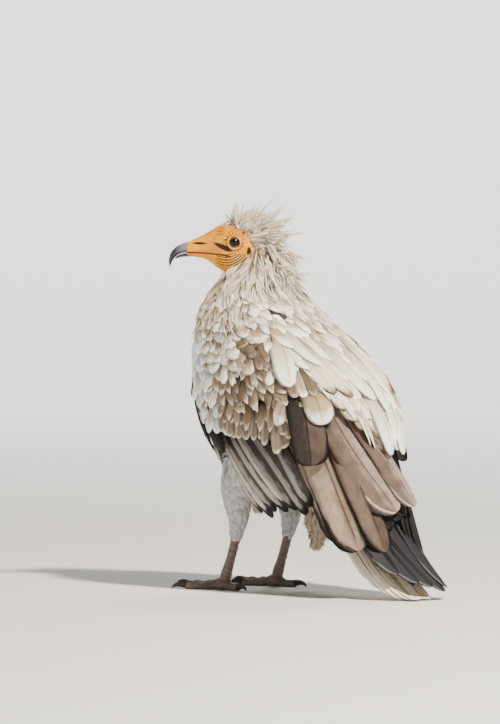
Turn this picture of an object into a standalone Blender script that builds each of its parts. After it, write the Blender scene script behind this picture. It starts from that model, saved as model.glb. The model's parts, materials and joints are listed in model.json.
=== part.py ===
"""A standing Egyptian vulture at life size, as closed solids that meet with thin gaps.

Units are metres, +Z is up. The bird faces -Y and its left side is +X; the head is turned to
its left. It stands on the plane z = 0 on flats under its toes and at the tip of its tail.
Shapes are worked out from the point on the floor midway between the feet, and everything is
moved at the end so that the origin is at the middle of the base of the model's box.
"""

import math
import random

import bmesh
import bpy
from mathutils import Matrix, Vector

GAP = 0.0003  # clearance between two pieces that touch in life
SWELL = 1.5 * GAP  # a cutter's growth along its corners' normals, which leaves at least the gap
UP = Vector((0, 0, 1))
ACROSS = Vector((1, 0, 0))  # to the bird's left
SIDES = ((1, "left"), (-1, "right"))

# Envelope of the folded wings and back: height, centre y, half width, half length of each
# level slice, which is a superellipse of the power below.
ENVELOPE_POWER = 3.0
ENVELOPE = (
    (0.002, 0.2190, 0.0800, 0.1000),
    (0.014, 0.2085, 0.0795, 0.1000),
    (0.035, 0.1880, 0.0760, 0.0970),
    (0.055, 0.1680, 0.0740, 0.0940),
    (0.090, 0.1430, 0.0815, 0.1045),
    (0.124, 0.1250, 0.0850, 0.1130),
    (0.147, 0.1110, 0.0850, 0.1130),
    (0.170, 0.0945, 0.0840, 0.1140),
    (0.205, 0.0830, 0.0875, 0.1190),
    (0.228, 0.0730, 0.0885, 0.1180),
    (0.251, 0.0645, 0.0865, 0.1055),
    (0.274, 0.0490, 0.0830, 0.0895),
    (0.297, 0.0345, 0.0745, 0.0722),
    (0.322, 0.0190, 0.0600, 0.0610),
    (0.340, 0.0110, 0.0440, 0.0500),
)

# The trunk inside the wings: height, centre y, half width, half length of each slice.
TRUNK_POWER = 2.4
TRUNK_LEVELS = 9
TRUNK_FACETS = 16
TRUNK = (
    (0.104, 0.128, 0.014, 0.018),
    (0.110, 0.122, 0.032, 0.042),
    (0.125, 0.112, 0.046, 0.064),
    (0.145, 0.100, 0.056, 0.082),
    (0.170, 0.087, 0.062, 0.094),
    (0.205, 0.074, 0.065, 0.100),
    (0.239, 0.062, 0.071, 0.098),
    (0.268, 0.046, 0.070, 0.080),
    (0.297, 0.031, 0.062, 0.060),
    (0.322, 0.017, 0.049, 0.051),
    (0.338, 0.012, 0.037, 0.042),
)

# The head's own frame: centre between the eyes, bill turned to the bird's left.
EYE_CENTRE = Vector((0.023, 0.002, 0.399))
HEAD_TURN = math.radians(47)
HEAD_FORWARD = Vector((math.sin(HEAD_TURN), -math.cos(HEAD_TURN), 0))
HEAD_LEFT = UP.cross(HEAD_FORWARD)

# Skull and soft face: distance forward of the eyes, top, bottom, half width.
SKULL_POWER = 2.15
SKULL_LEVELS = 12
SKULL_FACETS = 14
SKULL = (
    (-0.0390, 0.0020, -0.0100, 0.0060),
    (-0.0350, 0.0100, -0.0190, 0.0130),
    (-0.0260, 0.0165, -0.0290, 0.0190),
    (-0.0130, 0.0200, -0.0350, 0.0220),
    (0.0000, 0.0208, -0.0362, 0.0218),
    (0.0120, 0.0198, -0.0345, 0.0195),
    (0.0200, 0.0170, -0.0300, 0.0168),
    (0.0270, 0.0128, -0.0244, 0.0140),
    (0.0350, 0.0080, -0.0198, 0.0112),
    (0.0440, 0.0036, -0.0180, 0.0088),
    (0.0500, 0.0008, -0.0174, 0.0076),
    (0.0540, -0.0012, -0.0172, 0.0068),
)
GAPE = ((0.0030, -0.0185), (0.0220, -0.0150), (0.0800, -0.0128))  # mouth line, corner to tip
JAW_DEPTH = 0.070  # how far below the eyes, and how far to each side, the jaw's cutter reaches
JAW_SPREAD = 0.040
JAW_HINGE_STEP = 0.006  # its back edge leans forward by this

# Horn of the bill: forward, up, half depth, half width at stations along each curved half.
HORN_FACETS = 8
HOOK = (
    (0.0543, -0.0070, 0.0058, 0.0066),
    (0.0600, -0.0082, 0.0051, 0.0058),
    (0.0655, -0.0108, 0.0044, 0.0048),
    (0.0700, -0.0152, 0.0035, 0.0037),
    (0.0728, -0.0204, 0.0024, 0.0026),
    (0.0738, -0.0250, 0.0014, 0.0015),
    (0.0736, -0.0290, 0.0004, 0.0004),
)
LOWER_TIP = (
    (0.0543, -0.0154, 0.0018, 0.0047),
    (0.0600, -0.0161, 0.0017, 0.0040),
    (0.0640, -0.0173, 0.0014, 0.0031),
    (0.0665, -0.0188, 0.0009, 0.0018),
    (0.0680, -0.0201, 0.0004, 0.0007),
)

EYE_RADIUS = 0.0080
EYE_OUT = 0.0150  # eye centre, out from the middle plane
EYE_UP = -0.0010

# Crest of the nape: height above the eyes, centre forward, half length, half width.
CREST_FACETS = 14
CREST_LEVELS = 8
CREST_TUFTS = {"shortest": 0.013, "longest": 0.024, "seed": 8}
CREST_TUFT_FLOOR = -0.024  # no tufts lower than this above the eyes
CREST = (
    (-0.0300, -0.0470, 0.0100, 0.0150),
    (-0.0220, -0.0430, 0.0180, 0.0230),
    (-0.0100, -0.0380, 0.0195, 0.0255),
    (0.0020, -0.0320, 0.0200, 0.0260),
    (0.0120, -0.0230, 0.0260, 0.0235),
    (0.0200, -0.0150, 0.0250, 0.0180),
    (0.0265, -0.0120, 0.0130, 0.0100),
    (0.0290, -0.0120, 0.0040, 0.0030),
)
# Neck: height above the eyes, centre forward, half length, half width.
NECK_FACETS = 18
NECK_LEVELS = 7
NAPE_TUFTS = {"shortest": 0.012, "longest": 0.021, "seed": 3}
NAPE_TUFT_BAND = (-0.054, -0.033)  # heights above the eyes between which the nape's tufts grow
NECK = (
    (-0.0710, -0.0215, 0.0370, 0.0340),
    (-0.0660, -0.0215, 0.0380, 0.0350),
    (-0.0615, -0.0210, 0.0490, 0.0420),
    (-0.0520, -0.0233, 0.0485, 0.0400),
    (-0.0400, -0.0250, 0.0405, 0.0330),
    (-0.0250, -0.0285, 0.0290, 0.0265),
    (-0.0080, -0.0270, 0.0190, 0.0190),
    (-0.0030, -0.0270, 0.0080, 0.0080),
)

# Leg: stations of x out from the middle, y, z, half width, half depth.
THIGH = (
    (0.036, 0.042, 0.158, 0.020, 0.030),
    (0.040, 0.030, 0.130, 0.0215, 0.0250),
    (0.041, 0.026, 0.108, 0.0175, 0.0205),
    (0.041, 0.025, 0.086, 0.0130, 0.0150),
    (0.041, 0.0245, 0.068, 0.0095, 0.0110),
    (0.041, 0.021, 0.054, 0.0068, 0.0080),
)
TROUSERS = {  # the loose feathers behind the leg hang lower on the right
    "left": (
        (0.036, 0.082, 0.142, 0.016, 0.020),
        (0.038, 0.074, 0.120, 0.015, 0.016),
        (0.040, 0.066, 0.100, 0.0100, 0.0100),
        (0.040, 0.060, 0.087, 0.0030, 0.0030),
    ),
    "right": (
        (0.036, 0.082, 0.142, 0.016, 0.020),
        (0.038, 0.074, 0.112, 0.016, 0.017),
        (0.040, 0.069, 0.086, 0.0135, 0.0130),
        (0.040, 0.064, 0.064, 0.0090, 0.0085),
        (0.040, 0.059, 0.044, 0.0030, 0.0030),
    ),
}
LIMB_FACETS = {"tarsus": 8, "thigh": 10, "trousers": 8}
TARSUS = (
    (0.041, 0.034, 0.086, 0.0048, 0.0056),
    (0.041, 0.030, 0.076, 0.0062, 0.0070),
    (0.041, 0.023, 0.058, 0.0050, 0.0058),
    (0.041, 0.014, 0.034, 0.0050, 0.0056),
    (0.041, 0.007, 0.017, 0.0062, 0.0068),
    (0.041, 0.005, 0.011, 0.0050, 0.0056),
)
FOOT_CENTRE = (0.041, 0.003)
PAD_RADIUS = (0.0098, 0.0105, 0.0075)
PAD_HEIGHT = 0.0062
TOE_RADIUS = 0.0050
TOE_FACETS = 7
TOE_ROOT = 0.004  # a toe starts this far from the middle of the foot
TOE_TAPER = 0.16  # share of its radius that a toe loses along its length
TOE_KNUCKLE = 0.10  # share by which its joints swell
TOE_ARCH = 0.0034  # rise of its root over the ball of the foot
# Toe: name, angle outward from straight ahead in degrees, length to the claw, phalanges.
TOES = (
    ("inner", -30.0, 0.040, 2),
    ("middle", 3.0, 0.060, 3),
    ("outer", 36.0, 0.044, 3),
    ("hind", 172.0, 0.029, 1),
)
# Claw: distance past the toe's end, height, half thickness.
CLAW_FACETS = 6
CLAW_DEPTH = 1.15  # depth for each unit of thickness
CLAW = (
    (0.0009, 0.0050, 0.0031),
    (0.0060, 0.0057, 0.0027),
    (0.0110, 0.0052, 0.0020),
    (0.0148, 0.0032, 0.0012),
    (0.0164, 0.0014, 0.0005),
)

# Tail blade: y, z of its middle line, half width, and how far its edges droop.
TAIL = (
    (0.172, 0.0960, 0.028, 0.003),
    (0.198, 0.0705, 0.036, 0.006),
    (0.222, 0.0470, 0.040, 0.007),
    (0.241, 0.0285, 0.038, 0.006),
    (0.255, 0.0150, 0.032, 0.005),
    (0.266, 0.0060, 0.022, 0.002),
    (0.277, 0.0024, 0.013, 0.000),
    (0.289, 0.0022, 0.004, 0.000),
)
TAIL_THICKNESS = 0.0044
TAIL_FACETS = 4
TAIL_NOTCH = 0.07  # share by which every other station is narrower, between feather tips
# Feathers round the root of the tail: y, z, half width, half depth.
TAIL_COVERT_FACETS = 10
TAIL_COVERTS = (
    (0.134, 0.128, 0.036, 0.030),
    (0.160, 0.107, 0.034, 0.026),
    (0.184, 0.086, 0.029, 0.020),
    (0.206, 0.067, 0.022, 0.012),
    (0.224, 0.049, 0.013, 0.0075),
)

# Feather plates on the envelope. Angles in degrees round the body: 0 is the flank, 90 the
# middle of the back, -90 the breast. Each column runs from a root (angle, z) to a tip.
# Depths are measured outward from the envelope; a side of its own is named where they differ.
PLATES = {
    "coverts": {
        "columns": ((-58, 0.310, -50, 0.190), (-40, 0.322, -30, 0.176), (-18, 0.328, -8, 0.170),
                    (2, 0.330, 8, 0.164), (20, 0.331, 19, 0.158), (33, 0.332, 31, 0.192),
                    (48, 0.333, 48, 0.214)),
        "depths": {"left": (0.0, -0.0064), "right": (0.0, -0.0064)}, "across": 14, "along": 4, "tooth": 0.07,
    },
    "primary_coverts": {
        "columns": ((-56, 0.196, -43, 0.152), (-38, 0.176, -27, 0.138)),
        "depths": {"left": (-0.002, -0.008), "right": (-0.002, -0.008)}, "across": 3, "along": 2, "tooth": 0.10,
    },
    "secondaries": {
        "columns": ((-38, 0.205, -23, 0.098), (-26, 0.205, -12, 0.087), (-7, 0.200, 1, 0.090),
                    (12, 0.196, 16, 0.096)),
        "depths": {"left": (-0.0126, -0.0152), "right": (-0.0168, -0.0190)},
        "across": 10, "along": 4, "tooth": 0.05,
    },
    "tertials": {
        "columns": {
            "left": ((8, 0.205, 32, 0.047), (30, 0.225, 50, 0.036), (48, 0.238, 66, 0.042),
                     (62, 0.240, 87, 0.060), (76, 0.240, 104, 0.084), (86, 0.235, 127, 0.106)),
            "right": ((8, 0.205, 32, 0.047), (26, 0.225, 46, 0.036), (42, 0.235, 60, 0.042),
                      (56, 0.235, 74, 0.062), (70, 0.235, 84, 0.090)),
        },
        "depths": {"left": (-0.0088, -0.0112), "right": (-0.0138, -0.0160)},
        "across": {"left": 12, "right": 8}, "along": 5, "tooth": 0.06,
    },
    "scapulars": {
        "columns": {
            "left": ((50, 0.333, 51, 0.220), (63, 0.334, 66, 0.206), (76, 0.334, 79, 0.197),
                     (89, 0.334, 91, 0.172)),
            "right": ((50, 0.333, 51, 0.190), (63, 0.334, 65, 0.160), (76, 0.334, 77, 0.151),
                      (89, 0.334, 88, 0.156)),
        },
        "depths": {"left": (0.0, -0.0060), "right": (0.0, -0.0060)},
        "across": 8, "along": 5, "tooth": 0.08,
    },
    "primaries": {
        "columns": {
            "left": ((46, 0.130, 68, 0.040), (62, 0.130, 84, 0.029), (78, 0.130, 102, 0.017),
                     (92, 0.130, 116, 0.013), (102, 0.134, 127, 0.025)),
            "right": ((50, 0.130, 72, 0.040), (60, 0.130, 80, 0.028), (70, 0.130, 90, 0.018),
                      (80, 0.126, 98, 0.013)),
        },
        "depths": {"left": (-0.0180, -0.0198), "right": (-0.0224, -0.0242)},
        "across": {"left": 8, "right": 6}, "along": 5, "tooth": 0.06,
    },
}
BREAST = {
    "columns": ((-122, 0.326, -118, 0.168), (-106, 0.330, -104, 0.140), (-90, 0.332, -90, 0.128),
                (-74, 0.330, -76, 0.140), (-60, 0.318, -62, 0.168)),
    "depths": (-0.001, -0.024), "across": 10, "along": 5, "tooth": 0.05,
}
RUFF = {
    "columns": ((-150, 0.336, -156, 0.318), (-120, 0.338, -122, 0.304), (-90, 0.338, -90, 0.300),
                (-55, 0.338, -52, 0.298), (-20, 0.337, -14, 0.306), (0, 0.336, 4, 0.322)),
    "depths": (0.0040, 0.0006), "across": 18, "along": 2, "tooth": 0.34, "flare": 0.003,
}
MANTLE = {
    "columns": ((24, 0.338, 22, 0.318), (50, 0.340, 50, 0.308), (90, 0.340, 90, 0.300),
                (130, 0.340, 130, 0.308), (160, 0.338, 162, 0.320)),
    "depths": (0.0046, 0.0008), "across": 14, "along": 2, "tooth": 0.30, "flare": 0.001,
}

COLOURS = {
    "plumage": ((0.80, 0.73, 0.63), 0.80),
    "coverts": ((0.72, 0.64, 0.53), 0.75),
    "flight": ((0.20, 0.17, 0.16), 0.60),
    "tertial": ((0.42, 0.33, 0.26), 0.65),
    "face": ((0.88, 0.48, 0.10), 0.45),
    "horn": ((0.10, 0.10, 0.13), 0.30),
    "eye": ((0.05, 0.02, 0.015), 0.08),
    "leg": ((0.40, 0.31, 0.29), 0.60),
    "claw": ((0.05, 0.05, 0.05), 0.35),
}


# ---------------------------------------------------------------- helpers


def clear_scene():
    for obj in list(bpy.data.objects):
        bpy.data.objects.remove(obj)


def material(slot):
    """The Principled material of a colour slot, made once."""
    found = bpy.data.materials.get(slot)
    if found:
        return found
    colour, roughness = COLOURS[slot]
    made = bpy.data.materials.new(slot)
    made.use_nodes = True
    shader = made.node_tree.nodes["Principled BSDF"]
    shader.inputs["Base Color"].default_value = (*colour, 1)
    shader.inputs["Roughness"].default_value = roughness
    shader.inputs["Metallic"].default_value = 0.0
    return made


def smooth(table, x):
    """The row of a table at x, its first column, read on a cubic through the rows."""
    last = len(table) - 1
    x = min(max(x, table[0][0]), table[last][0])
    k = max(i for i in range(last) if table[i][0] <= x)
    x0, x1 = table[k][0], table[k + 1][0]
    t, span = (x - x0) / (x1 - x0), x1 - x0

    def slope(i, column):
        a, b = max(i - 1, 0), min(i + 1, last)
        return (table[b][column] - table[a][column]) / (table[b][0] - table[a][0])

    row = []
    for c in range(1, len(table[0])):
        p0, p1, m0, m1 = table[k][c], table[k + 1][c], slope(k, c) * span, slope(k + 1, c) * span
        row.append((2 * t**3 - 3 * t**2 + 1) * p0 + (t**3 - 2 * t**2 + t) * m0
                   + (3 * t**2 - 2 * t**3) * p1 + (t**3 - t**2) * m1)
    return row


def refine(stations, per_span):
    """Stations along a path with per_span steps from each to the next, on a smooth curve."""
    table = [(i, *row) for i, row in enumerate(stations)]
    steps = (len(stations) - 1) * per_span
    return [smooth(table, i / per_span) for i in range(steps + 1)]


def oval(angle, half_u, half_v, power=2.0):
    """Point of a superellipse at an angle in radians."""
    c, s = math.cos(angle), math.sin(angle)
    return (half_u * math.copysign(abs(c) ** (2 / power), c),
            half_v * math.copysign(abs(s) ** (2 / power), s))


def ring(centre, axis_u, axis_v, half_u, half_v, count, power=2.0):
    points = []
    for i in range(count):
        u, v = oval(2 * math.pi * (i + 0.5) / count, half_u, half_v, power)
        points.append(centre + axis_u * u + axis_v * v)
    return points


def hide(obj):
    """Marks a piece as a cutter."""
    obj.hide_render = True
    obj.display_type = "WIRE"
    return obj


def finish(bm, name, slot):
    """The bmesh as an object with outward faces, in triangles so that its cutter has the same ones."""
    bmesh.ops.triangulate(bm, faces=bm.faces)
    bmesh.ops.recalc_face_normals(bm, faces=bm.faces)
    if bm.calc_volume(signed=True) < 0:
        bmesh.ops.reverse_faces(bm, faces=bm.faces)
    mesh = bpy.data.meshes.new(name)
    bm.to_mesh(mesh)
    bm.free()
    mesh.materials.append(material(slot))
    mesh.shade_smooth()
    obj = bpy.data.objects.new(name, mesh)
    bpy.context.scene.collection.objects.link(obj)
    return obj


def loft(rings):
    """A closed bmesh through the rings, with a fan over each end."""
    bm = bmesh.new()
    rows = [[bm.verts.new(p) for p in points] for points in rings]
    for a, b in zip(rows, rows[1:]):
        for i in range(len(a)):
            j = (i + 1) % len(a)
            bm.faces.new((a[i], a[j], b[j], b[i]))
    for row in (rows[0], rows[-1]):
        middle = bm.verts.new(sum((v.co for v in row), Vector()) / len(row))
        for i in range(len(row)):
            bm.faces.new((row[i], row[(i + 1) % len(row)], middle))
    return bm


def path_rings(stations, count, lateral, per_span=2):
    """Rings square to a path of (x, y, z, half width, half depth) stations."""
    rows = refine(stations, per_span)
    points = [Vector(row[:3]) for row in rows]
    rings = []
    for k, row in enumerate(rows):
        along = (points[min(k + 1, len(rows) - 1)] - points[max(k - 1, 0)]).normalized()
        across = (lateral - along * lateral.dot(along)).normalized()
        rings.append(ring(points[k], across, along.cross(across), row[3], row[4], count))
    return rings


def swollen(piece):
    """A hidden cutter: the piece before its own cuts, grown by the gap, made once."""
    name = "cut_" + piece.name
    found = bpy.data.objects.get(name)
    if found:
        return found
    mesh = piece.data.copy()
    normals = [v.normal.copy() for v in mesh.vertices]
    for v, normal in zip(mesh.vertices, normals):
        v.co += normal * SWELL
    cutter = bpy.data.objects.new(name, mesh)
    bpy.context.scene.collection.objects.link(cutter)
    return hide(cutter)


def combine(target, cutter, operation):
    step = target.modifiers.new(cutter.name, "BOOLEAN")
    step.operation = operation
    step.solver = "EXACT"
    step.object = cutter


def carve(target, *neighbours):
    """Cuts room for its neighbours into a piece, with a thin gap."""
    for neighbour in neighbours:
        combine(target, swollen(neighbour), "DIFFERENCE")
    return target


def head_point(forward, left, up):
    """A point given in the head's frame."""
    return EYE_CENTRE + HEAD_FORWARD * forward + HEAD_LEFT * left + UP * up


def envelope(angle, z, out):
    """Point at an angle in degrees and a height, moved outward from the envelope's slice."""
    y, half_width, half_length = smooth(ENVELOPE, z)
    u, v = oval(math.radians(angle), half_width + out, half_length + out, ENVELOPE_POWER)
    return Vector((u, y + v, z))


# ---------------------------------------------------------------- trunk, neck and head


def eased(first, last, steps):
    """Values from first to last that crowd toward both ends."""
    return [first + (last - first) * (0.5 - 0.5 * math.cos(math.pi * k / steps)) for k in range(steps + 1)]


def make_trunk():
    rings = []
    for z in eased(TRUNK[0][0], TRUNK[-1][0], TRUNK_LEVELS):
        y, half_width, half_length = smooth(TRUNK, z)
        rings.append(ring(Vector((0, y, z)), ACROSS, Vector((0, 1, 0)),
                          half_width, half_length, TRUNK_FACETS, TRUNK_POWER))
    return finish(loft(rings), "trunk", "plumage")


def spread_tufts(bm, chosen, aim, shortest, longest, seed):
    """Draws a tapering tuft out of each chosen face, leaning the way that aim makes of its normal."""
    dice = random.Random(seed)
    for face in [f for f in bm.faces if chosen(f)]:
        lean = aim(face.normal).normalized()
        bmesh.ops.inset_region(bm, faces=[face], thickness=0.12 * math.sqrt(face.calc_area()))
        tip = bmesh.ops.poke(bm, faces=[face])["verts"][0]
        tip.co += lean * dice.uniform(shortest, longest)


def upright_loft(table, count, levels):
    """A loft of level rings in the head's frame: height, centre forward, half length, half width."""
    rings = []
    for up in eased(table[0][0], table[-1][0], levels):
        forward, half_length, half_width = smooth(table, up)
        rings.append(ring(head_point(forward, 0, up), HEAD_FORWARD, HEAD_LEFT, half_length, half_width, count))
    bm = loft(rings)
    bmesh.ops.recalc_face_normals(bm, faces=bm.faces)
    return bm


def make_neck():
    bm = upright_loft(NECK, NECK_FACETS, NECK_LEVELS)
    lowest, highest = NAPE_TUFT_BAND

    def nape(face):
        height = face.calc_center_median().z - EYE_CENTRE.z
        behind = -face.normal.dot(HEAD_FORWARD)
        return len(face.verts) == 4 and behind > 0.35 and lowest < height < highest

    spread_tufts(bm, nape, lambda normal: normal - UP * 0.35, **NAPE_TUFTS)
    return finish(bm, "neck", "plumage")


def make_skull(name):
    """The whole head before the mouth is cut: skull, cheeks and the soft base of the bill."""
    rings = []
    for forward in eased(SKULL[0][0], SKULL[-1][0], SKULL_LEVELS):
        top, bottom, half_width = smooth(SKULL, forward)
        centre = head_point(forward, 0, (top + bottom) / 2)
        rings.append(ring(centre, HEAD_LEFT, UP, half_width, (top - bottom) / 2, SKULL_FACETS, SKULL_POWER))
    return finish(loft(rings), name, "face")


def jaw_wedge():
    """A prism below the mouth line, from the gape forward: what belongs to the lower jaw."""
    corner, middle, tip = GAPE
    outline = [corner, middle, tip, (tip[0], -JAW_DEPTH), (corner[0] + JAW_HINGE_STEP, -JAW_DEPTH)]
    bm = bmesh.new()
    sides = [[bm.verts.new(head_point(f, left, u)) for f, u in outline] for left in (-JAW_SPREAD, JAW_SPREAD)]
    for i in range(len(outline)):
        j = (i + 1) % len(outline)
        bm.faces.new((sides[0][i], sides[0][j], sides[1][j], sides[1][i]))
    for side in sides:
        bm.faces.new(side)
    return hide(finish(bm, "jaw_wedge", "face"))


def make_eye(side, label):
    bm = bmesh.new()
    bmesh.ops.create_uvsphere(bm, u_segments=10, v_segments=6, radius=EYE_RADIUS)
    bmesh.ops.translate(bm, vec=head_point(0, side * EYE_OUT, EYE_UP), verts=bm.verts)
    return finish(bm, "eye_" + label, "eye")


def make_head():
    head = make_skull("head")
    jaw = make_skull("lower_jaw")
    wedge = jaw_wedge()
    carve(head, wedge, *(make_eye(side, label) for side, label in SIDES))
    combine(jaw, wedge, "INTERSECT")
    for name, stations in (("bill_hook", HOOK), ("bill_lower_tip", LOWER_TIP)):
        path = [(*head_point(f, 0, u), half_width, half_depth) for f, u, half_depth, half_width in stations]
        carve(finish(loft(path_rings(path, HORN_FACETS, HEAD_LEFT)), name, "horn"), head)
    return head


def make_crest():
    bm = upright_loft(CREST, CREST_FACETS, CREST_LEVELS)

    def shaggy(face):
        height = face.calc_center_median().z - EYE_CENTRE.z
        behind = -face.normal.dot(HEAD_FORWARD)
        outside = behind > 0.2 or face.normal.z > 0.5
        return len(face.verts) == 4 and height > CREST_TUFT_FLOOR and outside

    spread_tufts(bm, shaggy, lambda normal: normal - HEAD_FORWARD * 0.35 + UP * 0.12, **CREST_TUFTS)
    return finish(bm, "crest", "plumage")


# ---------------------------------------------------------------- feather plates


def column_at(columns, share):
    table = [(i / (len(columns) - 1), *column) for i, column in enumerate(columns)]
    return smooth(table, share)


def feather_plate(name, slot, side, columns, depths, across, along, tooth, flare=0.0):
    """A curved plate on the envelope whose lower edge is notched between feather tips."""
    bm = bmesh.new()
    skins = []
    for depth in depths:
        grid = []
        for i in range(across + 1):
            root_angle, root_z, tip_angle, tip_z = column_at(columns, i / across)
            reach = 1.0 - tooth * (i % 2)
            line = []
            for j in range(along + 1):
                share = reach * j / along
                angle = root_angle + (tip_angle - root_angle) * share
                z = root_z + (tip_z - root_z) * share
                point = envelope(angle, z, depth + flare * share**2)
                line.append(bm.verts.new((side * point.x, point.y, point.z)))
            grid.append(line)
        skins.append(grid)
    outer, inner = skins
    for grid in skins:
        for i in range(across):
            for j in range(along):
                bm.faces.new((grid[i][j], grid[i + 1][j], grid[i + 1][j + 1], grid[i][j + 1]))
    rim = ([(i, 0) for i in range(across)] + [(across, j) for j in range(along)]
           + [(i, along) for i in range(across, 0, -1)] + [(0, j) for j in range(along, 0, -1)])
    for k, (i, j) in enumerate(rim):
        m, n = rim[(k + 1) % len(rim)]
        bm.faces.new((outer[i][j], outer[m][n], inner[m][n], inner[i][j]))
    return finish(bm, name, slot)


def for_side(value, label):
    """A plate's value for one side, where the sides differ."""
    return value[label] if isinstance(value, dict) else value


def make_wings():
    slots = {"coverts": "coverts", "primary_coverts": "flight", "secondaries": "flight",
             "tertials": "tertial", "scapulars": "plumage", "primaries": "flight"}
    for side, label in SIDES:
        for group, shape in PLATES.items():
            given = {name: for_side(value, label) for name, value in shape.items()}
            feather_plate(f"wing_{label}_{group}", slots[group], side, **given)


# ---------------------------------------------------------------- tail


def make_tail():
    """An arched blade with stepped edges, whose tip is laid flat on the floor."""
    rows = refine(TAIL, 2)
    bm = bmesh.new()
    skins = []
    for face_side in (0.5, -0.5):
        grid = []
        for k, (y, z, half_width, droop) in enumerate(rows):
            before, after = rows[max(k - 1, 0)], rows[min(k + 1, len(rows) - 1)]
            along = Vector((0, after[0] - before[0], after[1] - before[1])).normalized()
            normal = ACROSS.cross(along)
            step = 1.0 - TAIL_NOTCH * (k % 2)
            line = []
            for i in range(TAIL_FACETS + 1):
                u = 2 * i / TAIL_FACETS - 1
                rise = face_side * TAIL_THICKNESS - droop * u * u
                point = Vector((u * half_width * step, y, z)) + normal * rise
                line.append(bm.verts.new((point.x, point.y, max(point.z, 0.0))))
            grid.append(line)
        skins.append(grid)
    top, under = skins
    for grid in skins:
        for a, b in zip(grid, grid[1:]):
            for i in range(TAIL_FACETS):
                bm.faces.new((a[i], a[i + 1], b[i + 1], b[i]))
    last = len(rows) - 1
    rim = ([(0, i) for i in range(TAIL_FACETS)] + [(k, TAIL_FACETS) for k in range(last)]
           + [(last, i) for i in range(TAIL_FACETS, 0, -1)] + [(k, 0) for k in range(last, 0, -1)])
    for n, (k, i) in enumerate(rim):
        m, j = rim[(n + 1) % len(rim)]
        bm.faces.new((top[k][i], top[m][j], under[m][j], under[k][i]))
    return finish(bm, "tail", "plumage")


def make_tail_coverts():
    path = [(0, *row) for row in TAIL_COVERTS]
    return finish(loft(path_rings(path, TAIL_COVERT_FACETS, ACROSS, 1)), "tail_coverts", "plumage")


# ---------------------------------------------------------------- legs


def flat_footed(rings):
    """The rings with everything below the floor pressed up to it."""
    return [[Vector((p.x, p.y, max(p.z, 0.0))) for p in points] for points in rings]


def make_pad(side, label):
    """The ball of the foot, flattened where it stands."""
    bm = bmesh.new()
    bmesh.ops.create_uvsphere(bm, u_segments=10, v_segments=7, radius=1.0)
    bmesh.ops.scale(bm, vec=PAD_RADIUS, verts=bm.verts)
    bmesh.ops.translate(bm, vec=(side * FOOT_CENTRE[0], FOOT_CENTRE[1], PAD_HEIGHT), verts=bm.verts)
    for v in bm.verts:
        v.co.z = max(v.co.z, 0.0)
    bmesh.ops.dissolve_degenerate(bm, dist=1e-6, edges=bm.edges)
    return finish(bm, "foot_" + label, "leg")


def toe_path(side, angle, length, phalanges):
    """Centre line of a toe with a swelling at each joint."""
    heading = Vector((side * math.sin(math.radians(angle)), -math.cos(math.radians(angle)), 0))
    start = Vector((side * FOOT_CENTRE[0], FOOT_CENTRE[1], 0))
    path = []
    steps = 3 * phalanges
    for k in range(steps + 1):
        share = k / steps
        swell = 1.0 + TOE_KNUCKLE * math.cos(2 * math.pi * share * phalanges)
        radius = TOE_RADIUS * (1.0 - TOE_TAPER * share) * swell
        height = radius * 0.86 + TOE_ARCH * math.exp(-((share / 0.22) ** 2))
        reach = TOE_ROOT + (length - TOE_ROOT) * share
        path.append((*(start + heading * reach + UP * height), radius, radius))
    return heading, start + heading * length, path


def make_leg(side, label, trunk, breast):
    """One leg; the breast makes room for its thigh."""
    def limb(name, stations, slot):
        path = [(side * row[0], *row[1:]) for row in stations]
        return finish(loft(path_rings(path, LIMB_FACETS[name], ACROSS, 1)), f"{name}_{label}", slot)

    tarsus = limb("tarsus", TARSUS, "leg")
    thigh = carve(limb("thigh", THIGH, "plumage"), trunk, tarsus)
    carve(breast, thigh)
    carve(limb("trousers", TROUSERS[label], "plumage"), trunk, thigh)
    pad = make_pad(side, label)
    carve(tarsus, pad)
    neighbours = [pad, tarsus]
    for name, angle, length, phalanges in TOES:
        heading, end, path = toe_path(side, angle, length, phalanges)
        across = heading.cross(UP)
        rings = flat_footed(path_rings(path, TOE_FACETS, across, 1))
        toe = carve(finish(loft(rings), f"toe_{label}_{name}", "leg"), *neighbours)
        neighbours.append(toe)
        claw = [(*(end + heading * past + UP * height), half, half * CLAW_DEPTH) for past, height, half in CLAW]
        finish(loft(path_rings(claw, CLAW_FACETS, across, 1)), f"claw_{label}_{name}", "claw")


# ---------------------------------------------------------------- the bird


def centre_on_floor():
    """Moves everything so that the origin is at the middle of the base of the model's box."""
    bpy.context.view_layer.update()
    shown = [obj for obj in bpy.data.objects if not obj.hide_render]
    graph = bpy.context.evaluated_depsgraph_get()
    corners = [Vector(c) for obj in shown for c in obj.evaluated_get(graph).bound_box]
    low = Vector([min(c[k] for c in corners) for k in range(3)])
    high = Vector([max(c[k] for c in corners) for k in range(3)])
    shift = Matrix.Translation(-Vector(((low.x + high.x) / 2, (low.y + high.y) / 2, low.z)))
    for obj in bpy.data.objects:
        obj.data.transform(shift)


def main():
    clear_scene()
    trunk = make_trunk()
    neck = make_neck()
    head = make_head()
    carve(trunk, neck)
    carve(neck, head)
    carve(make_crest(), head, neck)
    carve(feather_plate("ruff", "plumage", 1, **RUFF), neck)
    carve(feather_plate("mantle", "plumage", 1, **MANTLE), neck)
    breast = carve(feather_plate("breast", "plumage", 1, **BREAST), trunk, neck)
    make_wings()
    tail_coverts = carve(make_tail_coverts(), trunk)
    carve(make_tail(), tail_coverts)
    for side, label in SIDES:
        make_leg(side, label, trunk, breast)
    centre_on_floor()


main()
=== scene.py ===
"""The looks of a standing Egyptian vulture at life size.

One skin stands for the flesh, and over it lie the feathers, each a closed vane laid on the form
that it grows from. Lengths are metres, +Z is up, the body faces -Y and its left is +X. Shapes are
worked out from the point on the floor midway between the feet, which the frame's foot nodes give.
"""

from __future__ import annotations

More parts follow.
